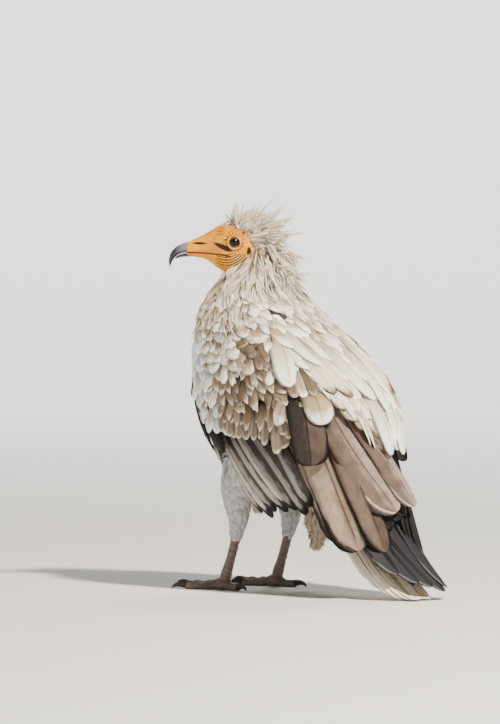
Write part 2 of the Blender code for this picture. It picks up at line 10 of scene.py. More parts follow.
import json
import logging
import math
import random
from abc import ABC, abstractmethod
from dataclasses import dataclass, replace
from enum import Enum
from typing import Any, Callable, ClassVar, Sequence

import bmesh
import bpy
import numpy as np
from mathutils import Matrix, Vector

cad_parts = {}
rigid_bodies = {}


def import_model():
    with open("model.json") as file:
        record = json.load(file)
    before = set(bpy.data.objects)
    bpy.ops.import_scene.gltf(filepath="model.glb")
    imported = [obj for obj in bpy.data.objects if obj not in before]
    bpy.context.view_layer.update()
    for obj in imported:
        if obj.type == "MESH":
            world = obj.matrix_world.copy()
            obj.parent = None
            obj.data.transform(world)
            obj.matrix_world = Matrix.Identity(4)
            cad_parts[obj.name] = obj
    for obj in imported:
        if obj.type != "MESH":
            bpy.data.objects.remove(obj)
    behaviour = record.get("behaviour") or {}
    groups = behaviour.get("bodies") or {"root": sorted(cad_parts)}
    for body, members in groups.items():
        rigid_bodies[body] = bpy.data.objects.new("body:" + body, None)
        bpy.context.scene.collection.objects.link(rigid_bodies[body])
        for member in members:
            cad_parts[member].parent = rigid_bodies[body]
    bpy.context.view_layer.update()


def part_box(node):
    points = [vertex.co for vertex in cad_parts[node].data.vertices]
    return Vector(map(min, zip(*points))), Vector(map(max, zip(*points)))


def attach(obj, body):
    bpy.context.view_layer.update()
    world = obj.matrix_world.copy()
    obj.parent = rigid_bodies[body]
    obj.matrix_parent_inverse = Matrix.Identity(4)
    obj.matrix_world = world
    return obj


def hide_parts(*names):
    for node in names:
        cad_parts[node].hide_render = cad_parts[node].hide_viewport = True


log = logging.getLogger("vulture")

Colour = tuple[float, float, float]
Table = Sequence[Sequence[float]]
UP = Vector((0, 0, 1))  # the model's own axes: up, to its left and aft
ACROSS = Vector((1, 0, 0))
AFT = Vector((0, 1, 0))
BODY = "root"
PATCH = 0.003  # side of a feather's patch on its piece's UV map
SIDES = {"left": 1, "right": -1}


# ---------------------------------------------------------------- curves and forms


def mm(*rows: Sequence[float]) -> Table:
    """Rows given in millimetres, in metres."""
    return tuple(tuple(value / 1000 for value in row) for row in rows)


def smooth(table: Table, x: float) -> list[float]:
    """Reads a table at x, its first column, on a cubic through its rows.

    Args:
        table: Rows that start with rising values of x.
        x: Where to read; it is held inside the table.

    Returns:
        The other columns at x.
    """
    last = len(table) - 1
    x = min(max(x, table[0][0]), table[last][0])
    k = max(i for i in range(last) if table[i][0] <= x)
    span = table[k + 1][0] - table[k][0]
    t = (x - table[k][0]) / span
    weights = (2 * t**3 - 3 * t**2 + 1, t**3 - 2 * t**2 + t, 3 * t**2 - 2 * t**3, t**3 - t**2)

    def slope(i: int, column: int) -> float:
        """Change for each unit of x about row i."""
        a, b = max(i - 1, 0), min(i + 1, last)
        return (table[b][column] - table[a][column]) / (table[b][0] - table[a][0])

    row = []
    for c in range(1, len(table[0])):
        terms = (table[k][c], slope(k, c) * span, table[k + 1][c], slope(k + 1, c) * span)
        row.append(sum(w * term for w, term in zip(weights, terms)))
    return row


def refine(stations: Table, per_span: int) -> list[list[float]]:
    """Stations along a path with per_span steps from each to the next, on a smooth curve."""
    table = [(i, *row) for i, row in enumerate(stations)]
    steps = (len(stations) - 1) * per_span
    return [smooth(table, i / per_span) for i in range(steps + 1)]


def oval(angle: float, half_u: float, half_v: float, power: float = 2.0) -> tuple[float, float]:
    """Point of a superellipse at an angle in radians."""
    c, s = math.cos(angle), math.sin(angle)
    return (half_u * math.copysign(abs(c) ** (2 / power), c),
            half_v * math.copysign(abs(s) ** (2 / power), s))


def bell(x: float, centre: float, width: float) -> float:
    """A smooth hump of height 1 about centre."""
    return math.exp(-(((x - centre) / width) ** 2))


def step(low: float, high: float, x: float) -> float:
    """0 below low, 1 above high and smooth between."""
    t = min(max((x - low) / (high - low), 0.0), 1.0)
    return t * t * (3 - 2 * t)


class Form(ABC):
    """A surface with two coordinates that feathers are laid on."""

    step_a = 0.5
    step_b = 0.001

    @abstractmethod
    def point(self, a: float, b: float, out: float = 0.0) -> Vector:
        """Point at the coordinates a and b, moved outward by out."""

    def normal(self, a: float, b: float, out: float = 0.0) -> Vector:
        """Outward unit normal at a and b."""
        across = self.point(a + self.step_a, b, out) - self.point(a - self.step_a, b, out)
        along = self.point(a, b + self.step_b, out) - self.point(a, b - self.step_b, out)
        found = across.cross(along)
        outward = self.point(a, b, out + 0.001) - self.point(a, b, out)
        if found.length < 1e-12:
            return outward.normalized()
        return (found if found.dot(outward) > 0 else -found).normalized()


@dataclass(frozen=True)
class Slices(Form):
    """A stack of level superellipses.

    a is the angle round it in degrees: 0 the flank, 90 the middle of the back and -90 the breast.
    b is the height.

    Attributes:
        rows: Height, centre x and y, half width and half length of each slice.
        power: The superellipses' power.
        side: 1 for the left half's own angles, -1 for the same on the right.
    """

    origin: Vector
    rows: Table
    power: float
    side: int = 1

    def point(self, a: float, b: float, out: float = 0.0) -> Vector:
        """Point at angle a and height b, moved outward from the slice."""
        x, y, half_width, half_length = smooth(self.rows, b)
        u, v = oval(math.radians(a), half_width + out, half_length + out, self.power)
        return self.origin + Vector((x + self.side * u, y + v, b))


def envelope(origin: Vector, side: int = 1) -> Slices:
    """The outline of the folded wings and back."""
    return Slices(origin, mm(
        (2, 0, 219, 80, 100), (14, 0, 208.5, 79.5, 100), (35, 0, 188, 76, 97), (55, 0, 168, 74, 94),
        (90, 0, 143, 81.5, 104.5), (124, 0, 125, 85, 113), (147, 0, 111, 85, 113), (170, 0, 94.5, 84, 114),
        (205, 0, 83, 87.5, 119), (228, 0, 73, 88.5, 118), (251, 0, 64.5, 86.5, 105.5), (274, 0, 49, 83, 89.5),
        (297, 0, 34.5, 74.5, 72.2), (322, 0, 19, 60, 61), (340, 0, 11, 44, 50),
    ), 3.0, side)


def cowl(origin: Vector) -> Slices:
    """The surface that runs from the neck out over the shoulders."""
    return Slices(origin, mm(
        (284, 0, 42.5, 79, 81), (300, 0, 33.5, 73, 70.5), (322, 0, 20.5, 58, 59), (336, 2, 15.5, 46, 50),
        (345, 5.5, 18, 41, 44), (354, 5.5, 19.5, 36.5, 39.5), (364, 4.5, 21, 31.5, 34),
        (376, 2.5, 21.5, 26.5, 28.5), (390, 3, 21, 21, 22),
    ), 2.4)


@dataclass(frozen=True)
class HeadFrame:
    """The head's own axes: forward along the bill, left and up from between the eyes.

    Attributes:
        centre: The point between the eyes, from the origin.
        turn: How far the head is turned to the bird's left, in radians.
    """

    origin: Vector
    centre: Vector = Vector((0.023, 0.002, 0.399))
    turn: float = math.radians(47)

    @property
    def middle(self) -> Vector:
        """The point between the eyes."""
        return self.origin + self.centre

    @property
    def forward(self) -> Vector:
        """Unit vector along the bill."""
        return Vector((math.sin(self.turn), -math.cos(self.turn), 0))

    @property
    def left(self) -> Vector:
        """Unit vector to the head's left."""
        return UP.cross(self.forward)

    def place(self, forward: float, left: float, up: float) -> Vector:
        """A point given in the head's frame."""
        return self.middle + self.forward * forward + self.left * left + UP * up


@dataclass(frozen=True)
class Limb(Form):
    """A tapering tube along a path.

    a is the angle in degrees, 0 outward and 90 to the front; b is the share of the path.

    Attributes:
        stations: x, y, z, half width and half depth along the path.
    """

    origin: Vector
    stations: Table
    side: int = 1
    step_b = 0.01

    def point(self, a: float, b: float, out: float = 0.0) -> Vector:
        """Point at angle a and share b of the path, moved outward."""
        table = [(i / (len(self.stations) - 1), *row) for i, row in enumerate(self.stations)]
        here = smooth(table, b)
        ahead, behind = smooth(table, b + 0.02), smooth(table, b - 0.02)
        along = (Vector(ahead[:3]) - Vector(behind[:3])).normalized()
        wide = (ACROSS - along * along.x).normalized()
        deep = along.cross(wide)
        if deep.y > 0:
            deep = -deep
        u, v = oval(math.radians(a), here[3] + out, here[4] + out)
        local = Vector(here[:3]) + wide * u + deep * v
        return self.origin + Vector((self.side * local.x, local.y, local.z))


# ---------------------------------------------------------------- node maths


class Graph:
    """A node tree that is being written, for a material or for Geometry Nodes."""

    def __init__(self, tree: bpy.types.NodeTree) -> None:
        """Keeps the tree that nodes are added to."""
        self.tree = tree

    @staticmethod
    def pick(sockets: Any, key: int | str) -> bpy.types.NodeSocket:
        """The enabled socket with that name, or at that place among the enabled ones."""
        live = [s for s in sockets if s.enabled]
        return live[key] if isinstance(key, int) else next(s for s in live if s.name == key)

    def add(self, kind: str, settings: dict[str, Any] | None = None,
            inputs: dict[int | str, Any] | None = None) -> bpy.types.Node:
        """Adds a node.

        Args:
            kind: The node's type.
            settings: Its own settings, set before its sockets are read.
            inputs: Values or wrapped sockets for its inputs, by name or place.

        Returns:
            The node.
        """
        node = self.tree.nodes.new(kind)
        for name, value in (settings or {}).items():
            if name == "stops":
                self.stops(node, value)
            else:
                setattr(node, name, value)
        for key, value in (inputs or {}).items():
            self.feed(self.pick(node.inputs, key), value)
        return node

    @staticmethod
    def stops(node: bpy.types.Node, stops: Sequence[tuple[float, Colour]]) -> None:
        """Sets a colour ramp's stops."""
        ramp = node.color_ramp
        while len(ramp.elements) < len(stops):
            ramp.elements.new(1.0)
        for element, (place, colour) in zip(ramp.elements, stops):
            element.position = place
            element.color = (*colour, 1)

    def feed(self, socket: bpy.types.NodeSocket, value: Any) -> None:
        """Links a wrapped socket, or sets a plain value."""
        if isinstance(value, Wire):
            self.tree.links.new(value.socket, socket)
        elif socket.type == "RGBA" and len(value) == 3:
            socket.default_value = (*value, 1)
        else:
            socket.default_value = value

    def number(self, node: bpy.types.Node, key: int | str = 0) -> Number:
        """A node's output as a number."""
        return Number(self, self.pick(node.outputs, key))

    def triple(self, node: bpy.types.Node, key: int | str = 0) -> Triple:
        """A node's output as a vector or a colour."""
        return Triple(self, self.pick(node.outputs, key))

    def mix(self, mask: Any, low: Any, high: Any) -> Triple:
        """The colour low where the mask is 0 and high where it is 1."""
        return self.triple(self.add("ShaderNodeMix", {"data_type": "RGBA"}, {0: mask, 1: low, 2: high}))

    def noise(self, where: Triple, scale: float, detail: float = 2.0) -> Number:
        """Noise between 0 and 1 at a place."""
        inputs = {"Vector": where, "Scale": scale, "Detail": detail}
        return self.number(self.add("ShaderNodeTexNoise", None, inputs))

    def vector(self, *parts: Any) -> Triple:
        """A vector made of three numbers."""
        return self.triple(self.add("ShaderNodeCombineXYZ", None, dict(enumerate(parts))))

    def own(self, name: str) -> Triple:
        """A vector attribute of the piece."""
        return self.triple(self.add("ShaderNodeAttribute", {"attribute_name": name}), "Vector")


@dataclass(frozen=True)
class Wire:
    """A socket in a graph."""

    graph: Graph
    socket: bpy.types.NodeSocket


class Number(Wire):
    """A socket that carries a number, with Python's operators as Math nodes."""

    def math(self, operation: str, *others: Any) -> Number:
        """Adds a Math node with this socket first."""
        inputs = {i: value for i, value in enumerate((self, *others))}
        return self.graph.number(self.graph.add("ShaderNodeMath", {"operation": operation}, inputs))

    @staticmethod
    def operator(operation: str, swapped: bool = False) -> Callable[[Number, Any], Number]:
        """One of Python's operators as a Math node.

        Args:
            operation: The node's operation.
            swapped: Whether the plain number comes first.

        Returns:
            The method.
        """
        def apply(self: Number, other: Any) -> Number:
            """Adds the node."""
            if not swapped:
                return self.math(operation, other)
            node = self.graph.add("ShaderNodeMath", {"operation": operation}, {0: other, 1: self})
            return self.graph.number(node)

        return apply

    __add__, __radd__ = operator("ADD"), operator("ADD", True)
    __sub__, __rsub__ = operator("SUBTRACT"), operator("SUBTRACT", True)
    __mul__, __rmul__ = operator("MULTIPLY"), operator("MULTIPLY", True)
    __truediv__, __pow__ = operator("DIVIDE"), operator("POWER")

    def abs(self) -> Number:
        """Its size without sign."""
        return self.math("ABSOLUTE")

    def most(self, other: Any) -> Number:
        """The larger of the two."""
        return self.math("MAXIMUM", other)

    def step(self, low: Any, high: Any) -> Number:
        """0 below low, 1 above high and smooth between, held to that range."""
        return self.graph.number(self.graph.add("ShaderNodeMapRange", {"interpolation_type": "SMOOTHSTEP"},
                                                {0: self, 1: low, 2: high, 3: 0.0, 4: 1.0}))

    def bell(self, centre: float, width: float) -> Number:
        """A smooth hump of height 1 about centre."""
        scaled = (self - centre) * (1.0 / width)
        return (scaled * scaled * -1.0).math("EXPONENT")


class Triple(Wire):
    """A socket that carries a vector or a colour, with operators as Vector Math nodes."""

    def maths(self, operation: str, *others: Any) -> bpy.types.Node:
        """Adds a Vector Math node with this socket first."""
        inputs = {i: value for i, value in enumerate((self, *others))}
        return self.graph.add("ShaderNodeVectorMath", {"operation": operation}, inputs)

    def __add__(self, other: Any) -> Triple:
        """The sum."""
        return self.graph.triple(self.maths("ADD", other))

    def __sub__(self, other: Any) -> Triple:
        """The difference."""
        return self.graph.triple(self.maths("SUBTRACT", other))

    def __mul__(self, other: Any) -> Triple:
        """Scaled by a number, or multiplied part by part."""
        kind = "SCALE" if isinstance(other, (Number, float, int)) else "MULTIPLY"
        return self.graph.triple(self.maths(kind, other))

    def cross(self, other: Any) -> Triple:
        """The cross product."""
        return self.graph.triple(self.maths("CROSS_PRODUCT", other))

    def dot(self, other: Any) -> Number:
        """The dot product."""
        return self.graph.number(self.maths("DOT_PRODUCT", other), "Value")

    def unit(self) -> Triple:
        """The same direction at length 1."""
        return self.graph.triple(self.maths("NORMALIZE"))

    def length(self) -> Number:
        """Its length."""
        return self.graph.number(self.maths("LENGTH"), "Value")

    def parts(self) -> tuple[Number, Number, Number]:
        """Its three parts as numbers."""
        node = self.graph.add("ShaderNodeSeparateXYZ", None, {0: self})
        return tuple(self.graph.number(node, i) for i in range(3))


# ---------------------------------------------------------------- finishes


@dataclass(frozen=True)
class Finish(ABC):
    """A material that paints itself with nodes.

    Attributes:
        name: The material's name.
        roughness: How dull it is.
        gloss: How strongly it mirrors.
    """

    name: str
    roughness: float
    gloss: ClassVar[float] = 0.12

    def material(self) -> bpy.types.Material:
        """The material, made once."""
        found = bpy.data.materials.get(self.name)
        if found:
            return found
        made = bpy.data.materials.new(self.name)
        made.use_nodes = True
        graph = Graph(made.node_tree)
        shader = made.node_tree.nodes["Principled BSDF"]
        shader.inputs["Roughness"].default_value = self.roughness
        shader.inputs["Specular IOR Level"].default_value = self.gloss
        self.paint(graph, shader)
        return made

    @abstractmethod
    def paint(self, graph: Graph, shader: bpy.types.Node) -> None:
        """Feeds the shader."""

    @staticmethod
    def place(graph: Graph) -> Triple:
        """The place on the piece, in metres."""
        return graph.triple(graph.add("ShaderNodeTexCoord"), "Object")

    @staticmethod
    def facing(where: Triple, head: HeadFrame) -> tuple[Number, Number]:
        """How far a place is ahead of the eyes and above them."""
        local = where - tuple(head.middle)
        return local.dot(tuple(head.forward)), local.dot(tuple(UP))

    @staticmethod
    def raise_bumps(graph: Graph, shader: bpy.types.Node, height: Number, strength: float,
                    distance: float) -> None:
        """Feeds a height to the shader's normal."""
        inputs = {"Height": height, "Strength": strength, "Distance": distance}
        graph.feed(shader.inputs["Normal"], graph.triple(graph.add("ShaderNodeBump", None, inputs)))


@dataclass(frozen=True)
class FeatherFinish(Finish):
    """Vanes with a shaft, barbs and a paler rim in each feather's own colours, with painted shade on the
    covered roots and along the outermost edge.

    Attributes:
        barbs: Number of barbs along the vane.
        shaft: Half width of the shaft as a share of the vane's.
        shaft_tone: What the vane's colour is multiplied by on the shaft.
        streak: How strongly the barbs show.
        root_shade: How dark the painted shade is on the root, which the feather above covers.
        edge: How far the rim's colour runs up the edges; 1 is as strong as at the tip.
        line: How dark the painted shade is along the outermost edge, where the feathers overlap.
        wander: How far the border between the two webs strays.
        blend: How softly they meet.
        mottle: How strongly the vane is clouded.
        clouds: How fine the clouds are.
    """

    barbs: float = 60.0
    shaft: float = 0.05
    shaft_tone: Colour = (0.55, 0.48, 0.42)
    streak: float = 0.16
    root_shade: float = 0.55
    edge: float = 0.3
    line: float = 0.45
    wander: float = 0.3
    blend: float = 0.14
    mottle: float = 0.22
    clouds: float = 160.0

    def paint(self, graph: Graph, shader: bpy.types.Node) -> None:
        """Mixes the web, middle and rim colours of each feather over its vane."""
        vane, traits = graph.own("vane"), graph.own("traits")
        lane, along, _ = vane.parts()
        luck, rim_start, spread = traits.parts()
        wide = lane.abs()
        drift = graph.noise(vane * (1.0, 3.0, 1.0) + traits * (37.0, 0.0, 0.0), 2.4)
        outer = (lane + (drift - 0.5) * self.wander).step(0.09 - self.blend / 2, 0.09 + self.blend / 2)
        colour = graph.mix(outer, graph.own("middle"), graph.own("web"))
        ragged = (wide ** 2.0) * self.edge + (along ** 3.0) * (1.15 - self.edge * 0.4) + (drift - 0.5) * 0.35
        colour = graph.mix(ragged.step(rim_start, rim_start + spread), colour, graph.own("rim"))
        slanted = along * self.barbs - wide * (self.barbs * 0.16)
        barb = graph.noise(graph.vector(slanted, lane * 1.3, luck * 50.0), 1.0, 1.0)
        spot = graph.noise(self.place(graph), self.clouds, 3.0)
        tone = 1.0 + (barb - 0.5) * (2 * self.streak) + (spot - 0.5) * self.mottle
        # painted shade on the root, where the feather above covers it
        root = (1.0 - along).step(0.3, 1.0) * self.root_shade
        # painted shade along the outermost edge, between overlapping feathers
        thin = (wide + (along ** 6.0) * 0.25).step(0.9, 1.0) * self.line
        colour = colour * (tone * (1.0 - root) * (1.0 - thin))
        on_shaft = (1.0 - wide.step(self.shaft, self.shaft * 2.2)) * (1.0 - along.step(0.9, 0.98))
        colour = graph.mix(on_shaft, colour, colour * self.shaft_tone)
        graph.feed(shader.inputs["Base Color"], colour)
        self.raise_bumps(graph, shader, barb * 0.6 + on_shaft, 0.35, 0.0006)


@dataclass(frozen=True)
class LockFinish(Finish):
    """Fine hackles, wisps and down: pale tips, painted shade at the roots and a little variation."""

    def paint(self, graph: Graph, shader: bpy.types.Node) -> None:
        """Shades each lock from root to tip."""
        lane, along, _ = graph.own("vane").parts()
        luck, start, spread = graph.own("traits").parts()
        colour = graph.mix(along.step(start, start + spread), graph.own("middle"), graph.own("rim"))
        strand = graph.noise(graph.vector(lane * 4.0, along * 1.5, luck * 60.0), 1.0)
        # the last term is painted shade at the roots, where the strands crowd together
        tone = 0.82 + strand * 0.36 - (1.0 - along).step(0.45, 1.0) * 0.35
        edge = 1.0 - lane.abs().step(0.35, 1.0) * 0.16
        graph.feed(shader.inputs["Base Color"], colour * (tone * edge))
        self.raise_bumps(graph, shader, strand, 0.25, 0.0004)


@dataclass(frozen=True)
class SkinFinish(Finish):
    """Bare skin: yellow and orange on the face, grey-pink on the legs, pale under the coat.

    Attributes:
        head: The head's frame, which the face's colours are placed in.
        leg_top: Height above which skin is body skin.
        face_from: Height at which the head's colours start.
        face_full: Height from which they are full.
        ear: The ear's place ahead and up, and its half sizes.
        nostril: The same of the nostril.
    """

    gloss: ClassVar[float] = 0.35
    head: HeadFrame
    leg_top: float = 0.125
    face_from: float = 0.352
    face_full: float = 0.358
    ear: tuple[float, float, float, float] = (-0.0164, -0.0117, 0.0023, 0.0044)
    nostril: tuple[float, float, float, float] = (0.04, -0.002, 0.0084, 0.00145)
    yellow: Colour = (0.72, 0.295, 0.0)
    orange: Colour = (0.68, 0.225, 0.0)
    flush: Colour = (0.66, 0.165, 0.018)
    cream: Colour = (0.62, 0.38, 0.105)
    lore: Colour = (0.012, 0.008, 0.005)
    throat: Colour = (0.54, 0.265, 0.02)
    body: Colour = (0.5, 0.38, 0.27)
    leg: Colour = (0.155, 0.115, 0.1)
    ear_dark: Colour = (0.035, 0.018, 0.01)
    nostril_dark: Colour = (0.025, 0.014, 0.01)
    lid: Colour = (0.9, 0.5, 0.02)
    lid_line: Colour = (0.16, 0.07, 0.02)
    socket: Colour = (0.03, 0.014, 0.008)

    def paint(self, graph: Graph, shader: bpy.types.Node) -> None:
        """Paints the face in the head's frame and the legs by height."""
        where = self.place(graph)
        crease = graph.number(graph.add("ShaderNodeAttribute", {"attribute_name": "crease"}), "Fac")
        fine = graph.noise(where, 900.0, 3.0)
        broad = graph.noise(where, 170.0, 3.0)
        shift = (broad - 0.5) * 0.004
        ahead, up = (part + shift for part in self.facing(where, self.head))
        face = self.marked(graph, self.zones(graph, broad, ahead, up), where, ahead, up)
        # painted shade in the creases: the face's folds, wrinkles, mouth line and the fold under the eye
        face = graph.mix(crease.step(0.03, 0.5), face, face * (0.14, 0.06, 0.035))
        face = graph.mix((-0.0185 - ahead).step(0.0, 0.003), face, self.body)
        _, _, height = where.parts()
        scaled = graph.number(graph.add("ShaderNodeTexVoronoi", {"feature": "DISTANCE_TO_EDGE"},
                                        {"Vector": where, "Scale": 520.0}), 0)
        leg = graph.mix(scaled.step(0.0, 0.12), tuple(c * 0.45 for c in self.leg), self.leg)
        leg = graph.mix((broad - 0.5).step(-0.1, 0.25), leg, leg * (1.35, 1.22, 1.15))
        # painted shade in the grooves between the plates of the tarsus and toes
        leg = graph.mix(crease, leg, leg * (0.4, 0.36, 0.34))
        rest = graph.mix(height.step(self.leg_top - 0.02, self.leg_top), leg, self.body)
        on_head = height.step(self.face_from, self.face_full)
        graph.feed(shader.inputs["Base Color"], graph.mix(on_head, rest, face) * (0.86 + fine * 0.28))
        bumps = fine * 0.35 + scaled.step(0.0, 0.2) * (1.0 - on_head) + broad * 0.5
        self.raise_bumps(graph, shader, bumps, 0.45, 0.0005)

    @staticmethod
    def layered(graph: Graph, base: Triple, layers: Sequence[tuple[Number, Colour]]) -> Triple:
        """Lays colours over a base in order, each where its mask is 1."""
        for mask, colour in layers:
            base = graph.mix(mask, base, colour)
        return base

    @staticmethod
    def rim(ahead: Number, up: Number, spot: tuple[float, float, float, float]) -> Number:
        """0 in the middle of an oval spot and 1 on its rim."""
        f, u, half_f, half_u = spot
        return ((ahead - f) * (1 / half_f)) ** 2.0 + ((up - u) * (1 / half_u)) ** 2.0

    def zones(self, graph: Graph, broad: Number, ahead: Number, up: Number) -> Triple:
        """The face's colours by area: crown, eye, cheek, gape and throat.

        Args:
            graph: The material's graph.
            broad: Broad noise.
            ahead: Distance forward of the eyes.
            up: Height over the eyes.

        Returns:
            The colour.
        """
        face = graph.mix((broad - 0.5).step(-0.15, 0.2), self.yellow, tuple(c * 1.12 for c in self.yellow))
        round_eye = ahead.bell(-0.006, 0.01) * up.bell(0.004, 0.0095)
        crown = ahead.bell(0.008, 0.015) * up.bell(0.015, 0.0065)
        cheek = (-0.0125 - up).step(0.0, 0.006) * (0.012 - ahead).step(0.0, 0.012)
        gape = (up + 0.0112 + (ahead - 0.03) * 0.06).bell(0.0, 0.0026) * ahead.step(0.006, 0.022)
        bare = (up + 0.027 + ahead * 0.1).step(-0.006, 0.0)
        return self.layered(graph, face, (
            ((round_eye * 1.25 + crown * 0.8).step(0.25, 0.95), self.orange), (cheek, self.cream),
            (gape, self.flush), (1.0 - bare, self.throat)))

    def marked(self, graph: Graph, face: Triple, where: Triple, ahead: Number, up: Number) -> Triple:
        """Adds the dark lore and brow, fine lines of painted shade in the skin's wrinkles, the ear and
        nostril darkened with painted shade in their hollows, and the rings round the eye, the innermost
        painted shade in the socket.

        Args:
            graph: The material's graph.
            face: The face's colour so far.
            where: The place on the piece.
            ahead: Distance forward of the eyes.
            up: Height over the eyes.

        Returns:
            The colour.
        """
        lore = ahead.bell(0.013, 0.009) * (up + 0.0066 - (ahead - 0.0125) * 0.43).bell(0.0, 0.0026)
        lore = lore.most(ahead.bell(0.0085, 0.0026) * (up + 0.008 + (ahead - 0.0085) * 0.5).bell(0.0, 0.0018))
        brow = ahead.bell(0.005, 0.007) * (up - 0.0072 + ahead * 0.45).bell(0.0, 0.0012)
        face = self.layered(graph, face, (((lore * 2.2).step(0.15, 0.9), self.lore),
                                          ((brow * 1.8).step(0.15, 1.0) * 0.9, self.lore)))
        # fine dark lines ahead of the eye: painted shade in the skin's wrinkles
        scrawl = (graph.noise(where * (1.0, 1.0, 1.8), 330.0, 2.0) - 0.5).abs().step(0.0, 0.05)
        wear_and_wrinkle_shade = ahead.bell(0.017, 0.018) * up.bell(0.002, 0.015)
        face = graph.mix((1.0 - scrawl) * wear_and_wrinkle_shade, face, face * (0.2, 0.1, 0.06))
        reach = (ahead * ahead + (up + 0.001) * (up + 0.001)) ** 0.5
        # the ear and nostril marks are painted shade in their hollows; the innermost ring is painted shade in
        # the eye socket
        return self.layered(graph, face, (
            (1.0 - self.rim(ahead, up, self.ear).step(0.7, 1.5), self.ear_dark),
            (1.0 - self.rim(ahead, up, self.nostril).step(0.6, 1.3), self.nostril_dark),
            (reach.bell(0.0074, 0.0007) * 0.95, self.lid), (reach.bell(0.0088, 0.0006) * 0.75, self.lid_line),
            ((1.0 - reach.step(0.0062, 0.0069)) * 0.9, self.socket)))


@dataclass(frozen=True)
class HornFinish(Finish):
    """Horn that darkens along the bill, with fine growth lines."""

    gloss: ClassVar[float] = 0.4
    head: HeadFrame
    base: Colour = (0.17, 0.175, 0.2)
    tip: Colour = (0.02, 0.021, 0.03)

    def paint(self, graph: Graph, shader: bpy.types.Node) -> None:
        """Darkens toward the hook's point and downward, and below the mouth line, partly the lower tip's own
        dark horn and partly painted shade under the hook.
        """
        where = self.place(graph)
        ahead, up = self.facing(where, self.head)
        grain = graph.noise(where * (1.0, 1.0, 2.5), 420.0, 3.0)
        fade = ((ahead - 0.0545) * 55.0 - (up + 0.01) * 26.0 + (grain - 0.5) * 0.5).step(0.0, 1.0)
        # below the mouth line: the lower tip's own dark horn and painted shade under the hook
        fade = fade.most((-0.0128 - up).step(0.0, 0.002) * 0.85)
        graph.feed(shader.inputs["Base Color"], graph.mix(fade, self.base, self.tip) * (0.8 + grain * 0.4))
        self.raise_bumps(graph, shader, grain, 0.2, 0.0003)


@dataclass(frozen=True)
class ClawFinish(Finish):
    """Black horn, a little scuffed and paler in places."""

    black: Colour = (0.016, 0.014, 0.014)
    wear_and_wrinkle_shade: Colour = (0.075, 0.062, 0.055)

    def paint(self, graph: Graph, shader: bpy.types.Node) -> None:
        """Varies the black with fine grain."""
        grain = graph.noise(self.place(graph), 500.0, 3.0)
        graph.feed(shader.inputs["Base Color"], graph.mix(grain.step(0.35, 0.8), self.black, self.wear_and_wrinkle_shade))
        self.raise_bumps(graph, shader, grain, 0.2, 0.0003)


@dataclass(frozen=True)
class EyeFinish(Finish):
    """A dark wet eye: black pupil, brown iris, darker rim.

    Attributes:
        drop: Height of the eyes' centres over the head's middle.
    """

    head: HeadFrame
    drop: float = -0.001

    def paint(self, graph: Graph, shader: bpy.types.Node) -> None:
        """Rings of colour about the eye's axis."""
        where = self.place(graph)
        ahead, up = self.facing(where, self.head)
        up = up - self.drop
        reach = (ahead * ahead + up * up) ** 0.5
        flecks = graph.noise(where, 1500.0)
        iris = graph.mix(flecks, (0.006, 0.002, 0.001), (0.03, 0.007, 0.003))
        colour = graph.mix(reach.step(0.0025, 0.0029), (0.003, 0.003, 0.003), iris)
        colour = graph.mix(reach.step(0.0047, 0.0058), colour, (0.012, 0.007, 0.005))
        graph.feed(shader.inputs["Base Color"], colour)
        shader.inputs["Coat Weight"].default_value = 0.22
        shader.inputs["Coat Roughness"].default_value = 0.03


@dataclass(frozen=True)
class StageFinish(Finish):
    """The pale floor and backdrop, which glows a little where the lamps don't reach.

    Attributes:
        colour: The floor's colour.
        light: The glow's colour.
        near: Distance from the middle at which the glow starts.
        far: Distance at which it is full.
        glow: How strong it is.
    """

    colour: Colour = (0.76, 0.745, 0.715)
    light: Colour = (0.95, 0.94, 0.92)
    near: float = 0.8
    far: float = 5.0
    glow: float = 1.75

    def paint(self, graph: Graph, shader: bpy.types.Node) -> None:
        """One pale colour with the faintest grain."""
        where = self.place(graph)
        grain = graph.noise(where, 3.0, 3.0)
        darker = tuple(c * 0.985 for c in self.colour)
        graph.feed(shader.inputs["Base Color"], graph.mix(grain, darker, self.colour))
        across, along, _ = where.parts()
        reach = (across * across + along * along) ** 0.5
        glow = graph.mix(reach.step(self.near, self.far), (0.0, 0.0, 0.0), self.light)
        graph.feed(shader.inputs["Emission Color"], glow)
        shader.inputs["Emission Strength"].default_value = self.glow


# ---------------------------------------------------------------- feathers


class Vane(Enum):
    """The kinds of feather, in the order that a coat's tree picks them."""

    CONTOUR = 0
    POINTED = 1
    ROUND = 2
    HACKLE = 3
    DOWN = 4
    FLIGHT = 5
    BROAD = 6


def meshed(bm: bmesh.types.BMesh, name: str, smooth: bool = False) -> bpy.types.Mesh:
    """Turns a bmesh into a mesh, shaded smooth all over where that is asked."""
    mesh = bpy.data.meshes.new(name)
    bm.to_mesh(mesh)
    bm.free()
    if smooth:
        mesh.shade_smooth()
    return mesh


